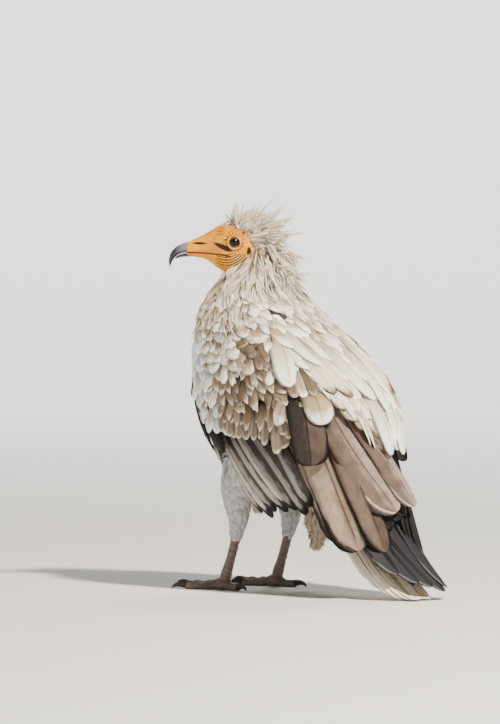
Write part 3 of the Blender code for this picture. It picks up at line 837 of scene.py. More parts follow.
@dataclass(frozen=True)
class VaneForm:
    """Outline and section of one kind of feather: x across from -1 to 1, y along from 0 to 1.

    Attributes:
        lanes: Places across the vane.
        straight: Spans before the tip starts to close.
        closing: Spans over which it closes.
        shoulder: Share of the length where it starts to close.
        tip_power: 2 closes round and 1 to a point.
        root_width: Share of the width at the root.
        swell: Share of the length at which it is full width.
        crown: Height of the middle over the edges.
        ridge: Height of the shaft over the vane.
        notch: Depth of the breaks in the edge near the tip.
        slant: How far the edges run ahead of the shaft.
        strands: Number of slivers that it is split into; 0 is one whole vane.
        skew: Share by which the outer web is narrower.
    """

    lanes: tuple[float, ...]
    straight: int
    closing: int
    shoulder: float
    tip_power: float
    root_width: float = 0.25
    swell: float = 0.35
    crown: float = 0.1
    ridge: float = 0.0
    notch: float = 0.0
    slant: float = 0.0
    strands: int = 0
    skew: float = 0.0

    def stations(self) -> list[tuple[float, float]]:
        """Share along the shaft and share of the full width of each row before the tip."""
        rows = [self.shoulder * i / self.straight for i in range(self.straight + 1)]
        rows += [self.shoulder + (1 - self.shoulder) * math.sin(0.5 * math.pi * k / self.closing)
                 for k in range(1, self.closing)]
        found = []
        for i, along in enumerate(rows):
            swollen = math.sin(0.5 * math.pi * min(along / self.swell, 1.0))
            grown = self.root_width + (1 - self.root_width) * swollen
            past = max((along - self.shoulder) / (1 - self.shoulder), 0.0)
            closed = max(1.0 - past ** self.tip_power, 0.0) ** (1.0 / self.tip_power)
            broken = 1.0 - self.notch * (i % 2) * step(0.3, 0.7, along)
            found.append((along, grown * closed * broken))
        return found

    def grow(self, bm: bmesh.types.BMesh, layer: Any, centre: float = 0.0, scale: float = 1.0,
             length: float = 1.0, lift: float = 0.0) -> None:
        """Adds one closed sliver or vane to a bmesh.

        Args:
            bm: Where to add it.
            layer: The vector layer that keeps the place on the vane.
            centre: Where its tip leans to, across.
            scale: Its share of the full width.
            length: Its share of the full length.
            lift: How far its tip stands off.
        """
        rows = []
        for along, wide in self.stations():
            lean = centre * along ** 1.3
            row = []
            for lane in self.lanes:
                web = 1.0 - self.skew if lane > 0 else 1.0
                x = lean + lane * wide * web * scale
                y = length * min(along + self.slant * abs(lane) * wide, 1.0)
                z = lift * along ** 2 + self.crown * scale * (1 - lane * lane) * wide
                z += self.ridge * (1.0 if abs(lane) < 1e-6 else 0.0) * (1.0 - 0.7 * along)
                vertex = bm.verts.new((x, y, z))
                vertex[layer] = (lane, along, 0.0)
                row.append(vertex)
            rows.append(row)
        tip = bm.verts.new((centre, length, lift))
        tip[layer] = (0.0, 1.0, 0.0)
        for low, high in zip(rows, rows[1:]):
            for i in range(len(self.lanes) - 1):
                bm.faces.new((low[i], low[i + 1], high[i + 1], high[i]))
            bm.faces.new((low[-1], low[0], high[0], high[-1]))
        last, first = rows[-1], rows[0]
        for i in range(len(self.lanes) - 1):
            bm.faces.new((last[i], last[i + 1], tip))
        bm.faces.new((last[-1], last[0], tip))
        bm.faces.new(list(reversed(first)))

    def build(self, name: str) -> bpy.types.Object:
        """The prototype that a coat's tree makes copies of."""
        bm = bmesh.new()
        layer = bm.verts.layers.float_vector.new("vane")
        if self.strands:
            dice = random.Random(self.strands)
            for k in range(self.strands):
                spread = 2 * k / (self.strands - 1) - 1
                self.grow(bm, layer, spread * 0.8 + dice.uniform(-0.2, 0.2), 1.15 / self.strands,
                          dice.uniform(0.74, 1.0), dice.uniform(-0.2, 0.5))
        else:
            self.grow(bm, layer)
        for edge in bm.edges:
            edge.smooth = edge.calc_face_angle(0.0) < 1.0
        for face in bm.faces:
            face.smooth = True
        return bpy.data.objects.new(name, meshed(bm, name))


FIVE = (-1.0, -0.5, 0.0, 0.5, 1.0)
NINE = (-1.0, -0.7, -0.35, -0.05, 0.0, 0.05, 0.35, 0.7, 1.0)
VANES = {
    Vane.CONTOUR: VaneForm(FIVE, 3, 4, 0.55, 2.0, slant=0.03, crown=0.12),
    Vane.POINTED: VaneForm(FIVE, 3, 4, 0.45, 1.35, slant=0.02, crown=0.14),
    Vane.ROUND: VaneForm(NINE, 4, 7, 0.62, 2.2, slant=0.02, crown=0.1, ridge=0.02, notch=0.03),
    Vane.HACKLE: VaneForm((-1.0, 0.0, 1.0), 3, 3, 0.4, 1.15, root_width=0.6, crown=0.3),
    Vane.DOWN: VaneForm((-1.0, 0.0, 1.0), 2, 3, 0.45, 1.4, root_width=0.7, crown=0.3, strands=3),
    Vane.FLIGHT: VaneForm(NINE, 12, 8, 0.8, 1.8, root_width=0.5, swell=0.25, crown=0.06, ridge=0.05,
                          slant=0.015, skew=0.25),
    Vane.BROAD: VaneForm(NINE, 10, 9, 0.82, 2.2, root_width=0.4, swell=0.3, crown=0.09, ridge=0.05,
                         slant=0.01, notch=0.012),
}


@dataclass(frozen=True)
class Palette:
    """A feather's colours.

    Attributes:
        middle: Colour of the vane.
        rim: Colour of its edge and tip.
        start: Where the rim starts, 0 at the shaft and 1 at the edge.
        spread: How softly it starts.
        vary: Share by which each feather's tone may differ.
        web: Colour of the outer half of the vane; the same as middle if left out.
    """

    middle: Colour
    rim: Colour
    start: float = 0.75
    spread: float = 0.25
    vary: float = 0.1
    web: Colour | None = None


Marks = Sequence[tuple[float, float, float, float, float, Palette]]


@dataclass(frozen=True)
class Lay:
    """How a feather lies on a form.

    Attributes:
        vane: Its kind.
        half: Half its width.
        palette: Its colours.
        root_out: How far its root is from the form, outward.
        tip_out: The same for its tip.
        arch: How far its middle rises over the straight line between the two.
        roll: Degrees by which it is turned about its shaft.
        cup: How far its edges curve down, as a share of half.
    """

    vane: Vane
    half: float
    palette: Palette
    root_out: float = -0.004
    tip_out: float = 0.0
    arch: float = 0.0
    roll: float = 0.0
    cup: float = 0.18


@dataclass
class Plume:
    """One feather, whose shaft is a quadratic curve.

    Attributes:
        root: Where it grows.
        bend: The curve's middle control point.
        tip: Where it ends.
        side_root: Unit vector across the vane at the root.
        side_tip: The same at the tip.
        lay: Its kind, width and colours.
        patch: Its place on the piece's UV map.
        tone: What its colours are multiplied by.
    """

    root: Vector
    bend: Vector
    tip: Vector
    side_root: Vector
    side_tip: Vector
    lay: Lay
    patch: tuple[float, float]
    tone: float = 1.0


def lay_plume(form: Form, root: tuple[float, float], tip: tuple[float, float], lay: Lay,
              patch: tuple[float, float], tone: float = 1.0) -> Plume:
    """Lays one feather on a form.

    Args:
        form: The surface.
        root: Its coordinates at the root.
        tip: Its coordinates at the tip.
        lay: How it lies.
        patch: Its place on the UV map.
        tone: What its colours are multiplied by.

    Returns:
        The feather.
    """
    start = form.point(*root, lay.root_out)
    end = form.point(*tip, lay.tip_out)
    half_way = ((root[0] + tip[0]) / 2, (root[1] + tip[1]) / 2)
    middle = form.point(*half_way, (lay.root_out + lay.tip_out) / 2 + lay.arch)
    bend = middle * 2 - (start + end) / 2
    sides = []
    for along, spot in ((bend - start, root), (end - bend, tip)):
        outward = form.normal(*spot)
        side = along.cross(outward).normalized()
        out = side.cross(along).normalized()
        turn = math.radians(lay.roll)
        sides.append((side * math.cos(turn) + out * math.sin(turn)).normalized())
    return Plume(start, bend, end, *sides, lay, patch, tone)


class CoatTree:
    """The Geometry Nodes tree that turns a cloud of feather roots into vanes."""

    NAME = "Lay feathers"

    @classmethod
    def tree(cls) -> bpy.types.NodeTree:
        """The tree, made once."""
        return bpy.data.node_groups.get(cls.NAME) or cls.build()

    @classmethod
    def build(cls) -> bpy.types.NodeTree:
        """Writes the tree: pick a vane, copy it to each root, bend it along its shaft."""
        tree = bpy.data.node_groups.new(cls.NAME, "GeometryNodeTree")
        face = tree.interface
        face.new_socket("Geometry", in_out="OUTPUT", socket_type="NodeSocketGeometry")
        for name, kind in (("Geometry", "Geometry"), ("Vanes", "Collection"), ("Material", "Material"),
                           ("Fray", "Float"), ("Seed", "Int")):
            face.new_socket(name, in_out="INPUT", socket_type="NodeSocket" + kind)
        graph = Graph(tree)
        given = graph.add("NodeGroupInput")
        result = graph.add("NodeGroupOutput")

        wire = graph.triple

        def own(name: str, kind: str = "FLOAT_VECTOR") -> Triple:
            """An attribute of the cloud."""
            return wire(graph.add("GeometryNodeInputNamedAttribute", {"data_type": kind}, {"Name": name}))

        kind = own("kind", "INT")
        vanes = graph.add("GeometryNodeCollectionInfo", None, {
            "Collection": wire(given, "Vanes"), "Separate Children": True, "Reset Children": True})
        copies = graph.add("GeometryNodeInstanceOnPoints", None, {
            "Points": wire(given, "Geometry"), "Instance": wire(vanes), "Pick Instance": True,
            "Instance Index": kind})
        real = graph.add("GeometryNodeRealizeInstances", None, {"Geometry": wire(copies)})
        lane, along, rise = graph.triple(graph.add("GeometryNodeInputPosition")).parts()
        half, cup, _ = own("shape").parts()
        root, bend, tip = own("root"), own("bend"), own("tip")
        back = 1.0 - along
        shaft = root * (back * back) + bend * (along * back * 2.0) + tip * (along * along)
        heading = (bend - root) * back + (tip - bend) * along
        side = (own("side_root") * back + own("side_tip") * along).unit()
        outward = side.cross(heading).unit()
        chance = graph.add("FunctionNodeRandomValue", {"data_type": "FLOAT"},
                           {"Min": -1.0, "Max": 1.0, "Seed": wire(given, "Seed")})
        fray = graph.number(chance) * graph.number(given, "Fray") * lane.abs() * along
        place = shaft + side * ((lane + fray) * half) + outward * ((rise - cup * lane * lane) * half)
        chart = cls.patch_place(graph, own("patch"), lane, along)
        kept = graph.add("GeometryNodeStoreNamedAttribute", {"data_type": "FLOAT2", "domain": "CORNER"},
                         {"Geometry": wire(real), "Name": "OFBake", "Value": chart})
        moved = graph.add("GeometryNodeSetPosition", None, {"Geometry": wire(kept), "Position": place})
        soft = graph.add("GeometryNodeSetShadeSmooth", None, {"Geometry": wire(moved)})
        dressed = graph.add("GeometryNodeSetMaterial", None,
                            {"Geometry": wire(soft), "Material": wire(given, "Material")})
        graph.feed(result.inputs[0], wire(dressed))
        return tree

    @staticmethod
    def patch_place(graph: Graph, patch: Triple, lane: Number, along: Number) -> Triple:
        """The place on the UV map: the feather's own corner, its width and its length."""
        corner_u, corner_v, size = patch.parts()
        return graph.vector(corner_u + (lane * 0.5 + 0.5) * size, corner_v + along * size, 0.0)


def settled(thing: bpy.types.Object, name: str) -> bpy.types.Mesh:
    """An object's mesh with its modifiers applied."""
    bpy.context.view_layer.update()
    graph = bpy.context.evaluated_depsgraph_get()
    mesh = bpy.data.meshes.new_from_object(thing.evaluated_get(graph), preserve_all_data_layers=True,
                                           depsgraph=graph)
    mesh.name = name
    return mesh


@dataclass
class Coat:
    """A piece made of many feathers.

    Attributes:
        name: The piece's name.
        finish: Its finish.
        slot: The record's material slot for it, passed on to hand_over.
        replaces: The nodes that it stands for.
        fray: How ragged the edges are.
        plumes: Its feathers.
    """

    name: str
    finish: Finish
    slot: str
    replaces: tuple[str, ...]
    fray: float
    plumes: list[Plume]

    KEPT = ("vane", "traits", "middle", "rim", "web", "OFBake", "sharp_edge")

    def cloud(self) -> bpy.types.Object:
        """A mesh of loose points that carry the feathers' attributes."""
        dice = random.Random(self.name)
        mesh = bpy.data.meshes.new(self.name + "_roots")
        mesh.vertices.add(len(self.plumes))
        rows = []
        for plume in self.plumes:
            paint = plume.lay.palette
            tone = plume.tone * (1 + paint.vary * dice.uniform(-1, 1))
            warm = 1 + 0.4 * paint.vary * dice.uniform(-1, 1)

            def tinted(colour: Colour) -> Colour:
                """The colour in this feather's tone and warmth."""
                return (colour[0] * tone, colour[1] * tone * (1 + warm) / 2, colour[2] * tone * warm)

            rows.append({
                "root": plume.root, "bend": plume.bend, "tip": plume.tip,
                "side_root": plume.side_root, "side_tip": plume.side_tip,
                "middle": tinted(paint.middle), "rim": tinted(paint.rim),
                "web": tinted(paint.web or paint.middle),
                "traits": (dice.random(), paint.start, paint.spread),
                "shape": (plume.lay.half, plume.lay.cup, 0.0), "patch": (*plume.patch, PATCH),
            })
        for name in rows[0]:
            layer = mesh.attributes.new(name, "FLOAT_VECTOR", "POINT")
            layer.data.foreach_set("vector", np.array([tuple(row[name]) for row in rows], np.float32).ravel())
        kinds = mesh.attributes.new("kind", "INT", "POINT")
        kinds.data.foreach_set("value", [plume.lay.vane.value for plume in self.plumes])
        cloud = bpy.data.objects.new(self.name + "_cloud", mesh)
        bpy.context.scene.collection.objects.link(cloud)
        return cloud

    def build(self, vanes: bpy.types.Collection) -> bpy.types.Object:
        """Grows the feathers and hands the piece to the frame.

        Args:
            vanes: The collection of feather prototypes.

        Returns:
            The finished piece.
        """
        cloud = self.cloud()
        step_in = cloud.modifiers.new("Feathers", "NODES")
        step_in.node_group = CoatTree.tree()
        values = {"Vanes": vanes, "Material": self.finish.material(), "Fray": self.fray,
                  "Seed": len(self.name)}
        for item in step_in.node_group.interface.items_tree:
            if item.in_out == "INPUT" and item.name in values:
                step_in[item.identifier] = values[item.name]
        mesh = settled(cloud, self.name)
        mesh.materials.clear()
        mesh.materials.append(self.finish.material())
        for name in [a.name for a in mesh.attributes]:
            layer = mesh.attributes.get(name)
            if layer and name not in self.KEPT and not layer.is_internal and not layer.is_required:
                mesh.attributes.remove(layer)
        bpy.data.objects.remove(cloud)
        return hand_over(mesh, self.name, self.slot, self.replaces, len(self.plumes))


def hand_over(mesh: bpy.types.Mesh, name: str, slot: str, nodes: Sequence[str],
              count: int = 1) -> bpy.types.Object:
    """Makes a finished mesh a piece of the model.

    Args:
        mesh: Its mesh, in place.
        name: Its name.
        slot: The record's material slot for it; not used.
        nodes: The nodes that it stands for.
        count: How many feathers or bodies it holds, for the log.

    Returns:
        The piece.
    """
    piece = bpy.data.objects.new(name, mesh)
    bpy.context.scene.collection.objects.link(piece)
    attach(piece, BODY)
    if nodes:
        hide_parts(*nodes)
    triangles = sum(len(p.vertices) - 2 for p in mesh.polygons)
    log.info("%s: %d of them, %d triangles", name, count, triangles)
    return piece


@dataclass(frozen=True)
class Row:
    """A row of feathers across a tract.

    Attributes:
        share: Where its tips lie, from 0 at the tract's top to 1 at its lower edge.
        count: How many feathers.
        length: Their length.
        lay: How they lie.
        first: Share across the tract at which it starts.
        last: Share across the tract at which it ends.
        jitter: Share of a feather's width and length by which they stray.
    """

    share: float
    count: int
    length: float
    lay: Lay
    first: float = 0.0
    last: float = 1.0
    jitter: float = 0.1


@dataclass(frozen=True)
class Tract:
    """An area of a form that feathers cover in rows, along columns from root to tip.

    Attributes:
        form: The surface.
        columns: For each column the coordinates of its root and of its tip.
        rows: Its rows.
        seed: For the rows' small irregularities.
        chart: Its rectangle on the UV map.
        dress: Changes how a feather lies by its shares across and along, where the tract is patterned.
    """

    form: Form
    columns: Table
    rows: tuple[Row, ...]
    seed: int = 1
    chart: tuple[float, float, float, float] = (0.0, 0.0, 1.0, 1.0)
    dress: Callable[[float, float, Lay], Lay] | None = None

    def at(self, across: float, along: float) -> tuple[float, float]:
        """Coordinates on the form at shares across and along the tract."""
        table = [(i / (len(self.columns) - 1), *column) for i, column in enumerate(self.columns)]
        root_a, root_b, tip_a, tip_b = smooth(table, across)
        return root_a + (tip_a - root_a) * along, root_b + (tip_b - root_b) * along

    def reach(self, across: float) -> float:
        """Length of the column at a share across."""
        points = [self.form.point(*self.at(across, k / 4)) for k in range(5)]
        return sum((b - a).length for a, b in zip(points, points[1:]))

    def evened(self, along: float, samples: int = 240) -> Callable[[float], float]:
        """Share across the tract as a function of the share of the distance round it.

        Args:
            along: Share along the tract where the distance is measured.
            samples: How many steps it is measured in.

        Returns:
            The function.
        """
        shares = [k / samples for k in range(samples + 1)]
        spots = [self.form.point(*self.at(share, along)) for share in shares]
        run = [0.0]
        for a, b in zip(spots, spots[1:]):
            run.append(run[-1] + (b - a).length)
        return lambda share: float(np.interp(share * run[-1], run, shares))

    def grow(self) -> list[Plume]:
        """Lays every row, staggered from one to the next."""
        dice = random.Random(self.seed)
        left, low, right, high = self.chart
        plumes = []
        for k, row in enumerate(self.rows):
            pitch = (row.last - row.first) / row.count
            spread = self.evened(row.share)
            for i in range(row.count):
                place = row.first + pitch * (i + 0.25 + 0.5 * (k % 2) + row.jitter * dice.uniform(-1.5, 1.5))
                across = spread(min(max(place, 0.0), 1.0))
                aside = spread(min(max(place + pitch * row.jitter * dice.uniform(-1.5, 1.5), 0.0), 1.0))
                length = row.length * (1 + row.jitter * dice.uniform(-1, 1))
                end = row.share + dice.uniform(-1, 1) * row.jitter * row.length * 0.9 / self.reach(across)
                start = end - length / self.reach(across)
                lay = self.dress(across, end, row.lay) if self.dress else row.lay
                lay = replace(lay, half=lay.half * (1 + row.jitter * dice.uniform(-1, 1)),
                              roll=lay.roll + 40 * row.jitter * dice.uniform(-1, 1))
                patch = (left + (right - left - PATCH) * across,
                         low + (high - low - PATCH) * min(max(end, 0.0), 1.0))
                plumes.append(lay_plume(self.form, self.at(aside, start), self.at(across, end), lay, patch))
        return plumes


def tossed(dice: random.Random) -> Vector:
    """A random vector with parts from -1 to 1."""
    return Vector([dice.uniform(-1, 1) for _ in range(3)])


def tuft(form: Form, root: tuple[float, float], aim: Vector, length: float, droop: float, lay: Lay,
         patch: tuple[float, float], dice: random.Random) -> Plume:
    """A lock that stands off a form.

    Args:
        form: The surface.
        root: Its coordinates there.
        aim: The direction that it leaves in.
        length: Its length.
        droop: How far its tip hangs, as a share of its length.
        lay: Its kind, width and colours.
        patch: Its place on the UV map.
        dice: For its small irregularities.

    Returns:
        The lock.
    """
    start = form.point(*root, lay.root_out)
    wander = tossed(dice) * 0.16
    heading = (aim.normalized() + wander).normalized()
    bend = start + heading * length * 0.5
    tip = start + heading * length - UP * droop * length
    outward = form.normal(*root)
    side = heading.cross(outward)
    side = side.normalized() if side.length > 0.05 else heading.cross(UP).normalized()
    turn = Matrix.Rotation(math.radians(lay.roll + dice.uniform(-50, 50)), 3, heading)
    side = (turn @ side).normalized()
    return Plume(start, bend, tip, side, side, lay, patch, 1 + dice.uniform(-0.08, 0.08))


# ---------------------------------------------------------------- lofted solids


Ring = list[Vector]


def ring(centre: Vector, axis_u: Vector, axis_v: Vector, half_u: float, half_v: float, count: int,
         power: float = 2.0, relief: Callable[[float], float] | None = None) -> Ring:
    """Points of a superellipse about a centre.

    Args:
        centre: Its middle.
        axis_u: Its first axis.
        axis_v: Its second axis.
        half_u: Half size along the first.
        half_v: Half size along the second.
        count: How many points.
        power: The superellipse's power.
        relief: Extra radius at an angle in radians.

    Returns:
        The points.
    """
    points = []
    for i in range(count):
        angle = 2 * math.pi * i / count
        extra = relief(angle) if relief else 0.0
        u, v = oval(angle, half_u + extra, half_v + extra, power)
        points.append(centre + axis_u * u + axis_v * v)
    return points


def loft(rings: Sequence[Ring], name: str, creases: Sequence[Sequence[float]] | None = None,
         closed: bool = False) -> bpy.types.Object:
    """A closed mesh through rings.

    Args:
        rings: Rings with the same number of points.
        name: The object's name.
        creases: For each point a darkness from 0 to 1, painted shade in its crease or groove, kept as an
            attribute.
        closed: Whether the last ring joins the first; otherwise a fan covers each end.

    Returns:
        An object that isn't linked to a scene.
    """
    bm = bmesh.new()
    layer = bm.verts.layers.float.new("crease")
    rows = []
    for k, points in enumerate(rings):
        row = [bm.verts.new(p) for p in points]
        if creases:
            for vertex, value in zip(row, creases[k]):
                vertex[layer] = value
        rows.append(row)
    count = len(rows[0])
    for low, high in zip(rows, rows[1:] + (rows[:1] if closed else [])):
        for i in range(count):
            j = (i + 1) % count
            bm.faces.new((low[i], low[j], high[j], high[i]))
    for row in () if closed else (rows[0], rows[-1]):
        middle = bm.verts.new(sum((v.co for v in row), Vector()) / count)
        for i in range(count):
            bm.faces.new((row[i], row[(i + 1) % count], middle))
    bmesh.ops.recalc_face_normals(bm, faces=bm.faces)
    if bm.calc_volume(signed=True) < 0:
        bmesh.ops.reverse_faces(bm, faces=bm.faces)
    return bpy.data.objects.new(name, meshed(bm, name, smooth=True))


def path_rings(origin: Vector, stations: Table, count: int, lateral: Vector, per_span: int,
               relief: Callable[[float, float], float] | None = None) -> list[Ring]:
    """Rings square to a path.

    Args:
        origin: Added to every point.
        stations: x, y, z, half width and half depth along the path.
        count: Points in each ring.
        lateral: The direction of the width.
        per_span: Steps from each station to the next.
        relief: Extra radius at a share of the path and an angle.

    Returns:
        The rings.
    """
    rows = refine(stations, per_span)
    points = [Vector(row[:3]) for row in rows]
    last = len(rows) - 1
    rings = []
    for k, row in enumerate(rows):
        along = (points[min(k + 1, last)] - points[max(k - 1, 0)]).normalized()
        wide = (lateral - along * lateral.dot(along)).normalized()
        share = k / last
        rings.append(ring(origin + points[k], wide, along.cross(wide), row[3], row[4], count,
                          relief=(lambda angle, share=share: relief(share, angle)) if relief else None))
    return rings


def united(parts: Sequence[bpy.types.Object], name: str) -> bpy.types.Mesh:
    """The union of closed parts as one mesh.

    Args:
        parts: The parts, the finest first.
        name: The mesh's name.

    Returns:
        The mesh; the parts are removed.
    """
    scene = bpy.context.scene.collection
    for part in parts:
        scene.objects.link(part)
    base = parts[0]
    for part in parts[1:]:
        step_in = base.modifiers.new(part.name, "BOOLEAN")
        step_in.operation = "UNION"
        step_in.solver = "MANIFOLD"
        step_in.object = part
    mesh = settled(base, name)
    for part in parts:
        bpy.data.objects.remove(part)
    return mesh


# ---------------------------------------------------------------- the skin


@dataclass(frozen=True)
class Head:
    """The bare head: skull, brow, cheek folds, nostrils, ears, mouth line and lids.

    Attributes:
        rows: Distance forward of the eyes, top, bottom and half width of each section.
        rings: How many sections.
        facets: Points round each.
        eye_out: Distance of the eyes' centres from the middle plane.
        eye_up: Their height.
        lid: Radius of the opening between the lids.
        lid_thickness: Half the lids' thickness.
    """

    frame: HeadFrame
    rows: Table = mm(
        (-39, 2, -10, 6), (-35, 10, -19, 13), (-26, 16.5, -29, 19), (-13, 20, -35, 22),
        (0, 20.8, -36.2, 21.8), (12, 19.8, -34.5, 19.5), (20, 17, -30, 16.8), (27, 12.8, -24.4, 14),
        (35, 8, -19.8, 11.2), (44, 3.6, -18, 8.8), (50, 0.8, -17.4, 7.6), (54.5, -1.5, -17.1, 6.7),
    )
    power: float = 2.15
    rings: int = 150
    facets: int = 200
    eye_out: float = 0.015
    eye_up: float = -0.001
    lid: float = 0.0057
    lid_thickness: float = 0.0009

    @staticmethod
    def mouth(forward: float) -> float:
        """Height of the mouth line at a distance forward."""
        return smooth(mm((3, -17.5), (12, -15.8), (22, -14.6), (40, -13.2), (60, -12.8)), forward)[0]

    def relief(self, f: float, u: float) -> tuple[float, float]:
        """Height of the skin over its plain form, and the painted shade in its creases.

        Args:
            f: Distance forward of the eyes.
            u: Height over the eyes.

        Returns:
            The height in metres and the creases' painted shade from 0 to 1.
        """
        reach = math.hypot(f, u - self.eye_up)
        over_eye = step(-0.016, -0.006, f) * (1 - step(0.014, 0.024, f))
        brow = 0.0014 * bell(u, 0.0088 + 0.1 * f, 0.0026) * over_eye
        lore = 0.0016 * bell(f, 0.0125, 0.0055) * bell(u, -0.0035, 0.005)
        socket = 0.0042 * (1 - step(self.lid - 0.0008, self.lid + 0.0002, reach))
        swelling = 0.0006 * bell(reach, self.lid + 0.0022, 0.0011)
        height = brow - lore - socket + swelling
        crease = 0.55 * bell(reach, self.lid + 0.0036, 0.0006) * step(-0.002, 0.004, -u)
        gape = u - self.mouth(f)
        open_mouth = step(0.0015, 0.006, f)
        height -= 0.0011 * bell(gape, 0.0, 0.0005) * open_mouth
        height += 0.0005 * (bell(gape, 0.0018, 0.0009) + bell(gape, -0.0018, 0.0009)) * open_mouth
        crease = max(crease, 0.95 * bell(gape, 0.0, 0.00055) * open_mouth)
        # nostril, then ear: 1 at the rim of each
        slit = ((f - 0.0405) / 0.008) ** 2 + ((u + 0.0022 - 0.06 * (f - 0.0405)) / 0.0011) ** 2
        height -= 0.0022 * (1 - step(0.5, 1.4, slit))
        height += 0.0004 * bell(math.sqrt(slit), 1.6, 0.35)
        hole = ((f + 0.0164) / 0.0024) ** 2 + ((u + 0.0117) / 0.0046) ** 2
        height -= 0.0034 * (1 - step(0.5, 1.5, hole))
        height += 0.0009 * bell(math.sqrt(hole), 1.55, 0.35)
        fold, dark = self.folds(f, u)
        calm = (1 - bell(math.sqrt(hole), 0.0, 1.6)) * step(self.lid, self.lid + 0.003, reach)
        return height + fold * calm, max(crease, dark * calm)

    @staticmethod
    def folds(f: float, u: float) -> tuple[float, float]:
        """Wrinkles of the cheek, the lore and the crown, with painted shade in their troughs."""
        wobble = 0.9 * math.sin(310 * f + 130 * u) + 0.6 * math.sin(190 * u - 240 * f)
        cheek_reach = math.hypot(f - 0.01, (u + 0.002) * 1.05)
        below = 1 - step(-0.0165, -0.0105, u)
        behind = 1 - step(0.014, 0.026, f)
        wave = math.sin(2 * math.pi * cheek_reach / 0.003 + wobble)
        cheek = below * behind * step(-0.034, -0.026, u)
        height = 0.00062 * wave * cheek
        dark = 0.85 * cheek * step(0.25, 0.95, -wave)
        lines = math.sin(2 * math.pi * (u - 0.22 * f) / 0.0024 + 1.3 * wobble)
        brow = bell(f, 0.015, 0.016) * step(0.0045, 0.008, u)
        height += 0.00028 * lines * brow
        dark = max(dark, 0.62 * brow * step(0.35, 1.0, -lines) * step(-0.9, 0.2, math.sin(420 * f + 90 * u)))
        rays = math.sin(math.atan2(u + 0.001, f) * 17 + 30 * math.hypot(f, u))
        near = bell(math.hypot(f, u + 0.001), 0.0105, 0.003)
        height += 0.00022 * rays * near
        dark = max(dark, 0.45 * near * step(0.4, 1.0, -rays))
        return height, dark

    def skull(self) -> bpy.types.Object:
        """The head's own mesh."""
        first, last = self.rows[0][0], self.rows[-1][0]
        rings, creases = [], []
        for k in range(self.rings + 1):
            share = k / self.rings
            eased = 0.5 - 0.5 * math.cos(math.pi * share)
            f = first + (last - first) * (0.75 * share + 0.25 * eased)
            top, bottom, half_width = smooth(self.rows, f)
            centre, half_height = (top + bottom) / 2, (top - bottom) / 2
            points, darks = [], []
            for i in range(self.facets):
                angle = 2 * math.pi * i / self.facets
                l, v = oval(angle, half_width, half_height, self.power)
                height, dark = self.relief(f, centre + v)
                scale = 1 + height / max(math.hypot(l, v), 0.003)
                points.append(self.frame.place(f, l * scale, centre + v * scale))
                darks.append(dark)
            rings.append(points)
            creases.append(darks)
        return loft(rings, "skull", creases)

    def lids(self, side: int) -> bpy.types.Object:
        """The ring of skin round an eye, which opens a little wider than it is high."""
        rings = []
        steps = 72
        for k in range(steps):
            angle = 2 * math.pi * k / steps
            outward = Vector((math.cos(angle), 0, math.sin(angle)))
            reach_f = (self.lid + 0.0004) * 1.04 * math.cos(angle)
            reach_u = (self.lid + 0.0004) * 0.86 * math.sin(angle)
            out = 0.021 - 0.0012 * abs(math.cos(angle)) ** 2
            up = math.sin(angle)
            thick = self.lid_thickness * (1.0 + 0.35 * max(-up, 0.0) + 0.25 * max(up, 0.0))
            centre = self.frame.place(reach_f, side * out, self.eye_up + reach_u)
            radial = self.frame.forward * outward.x + UP * outward.z
            rings.append(ring(centre, radial, self.frame.left * side, thick, thick * 1.2, 12))
        return loft(rings, f"lids_{side}", closed=True)


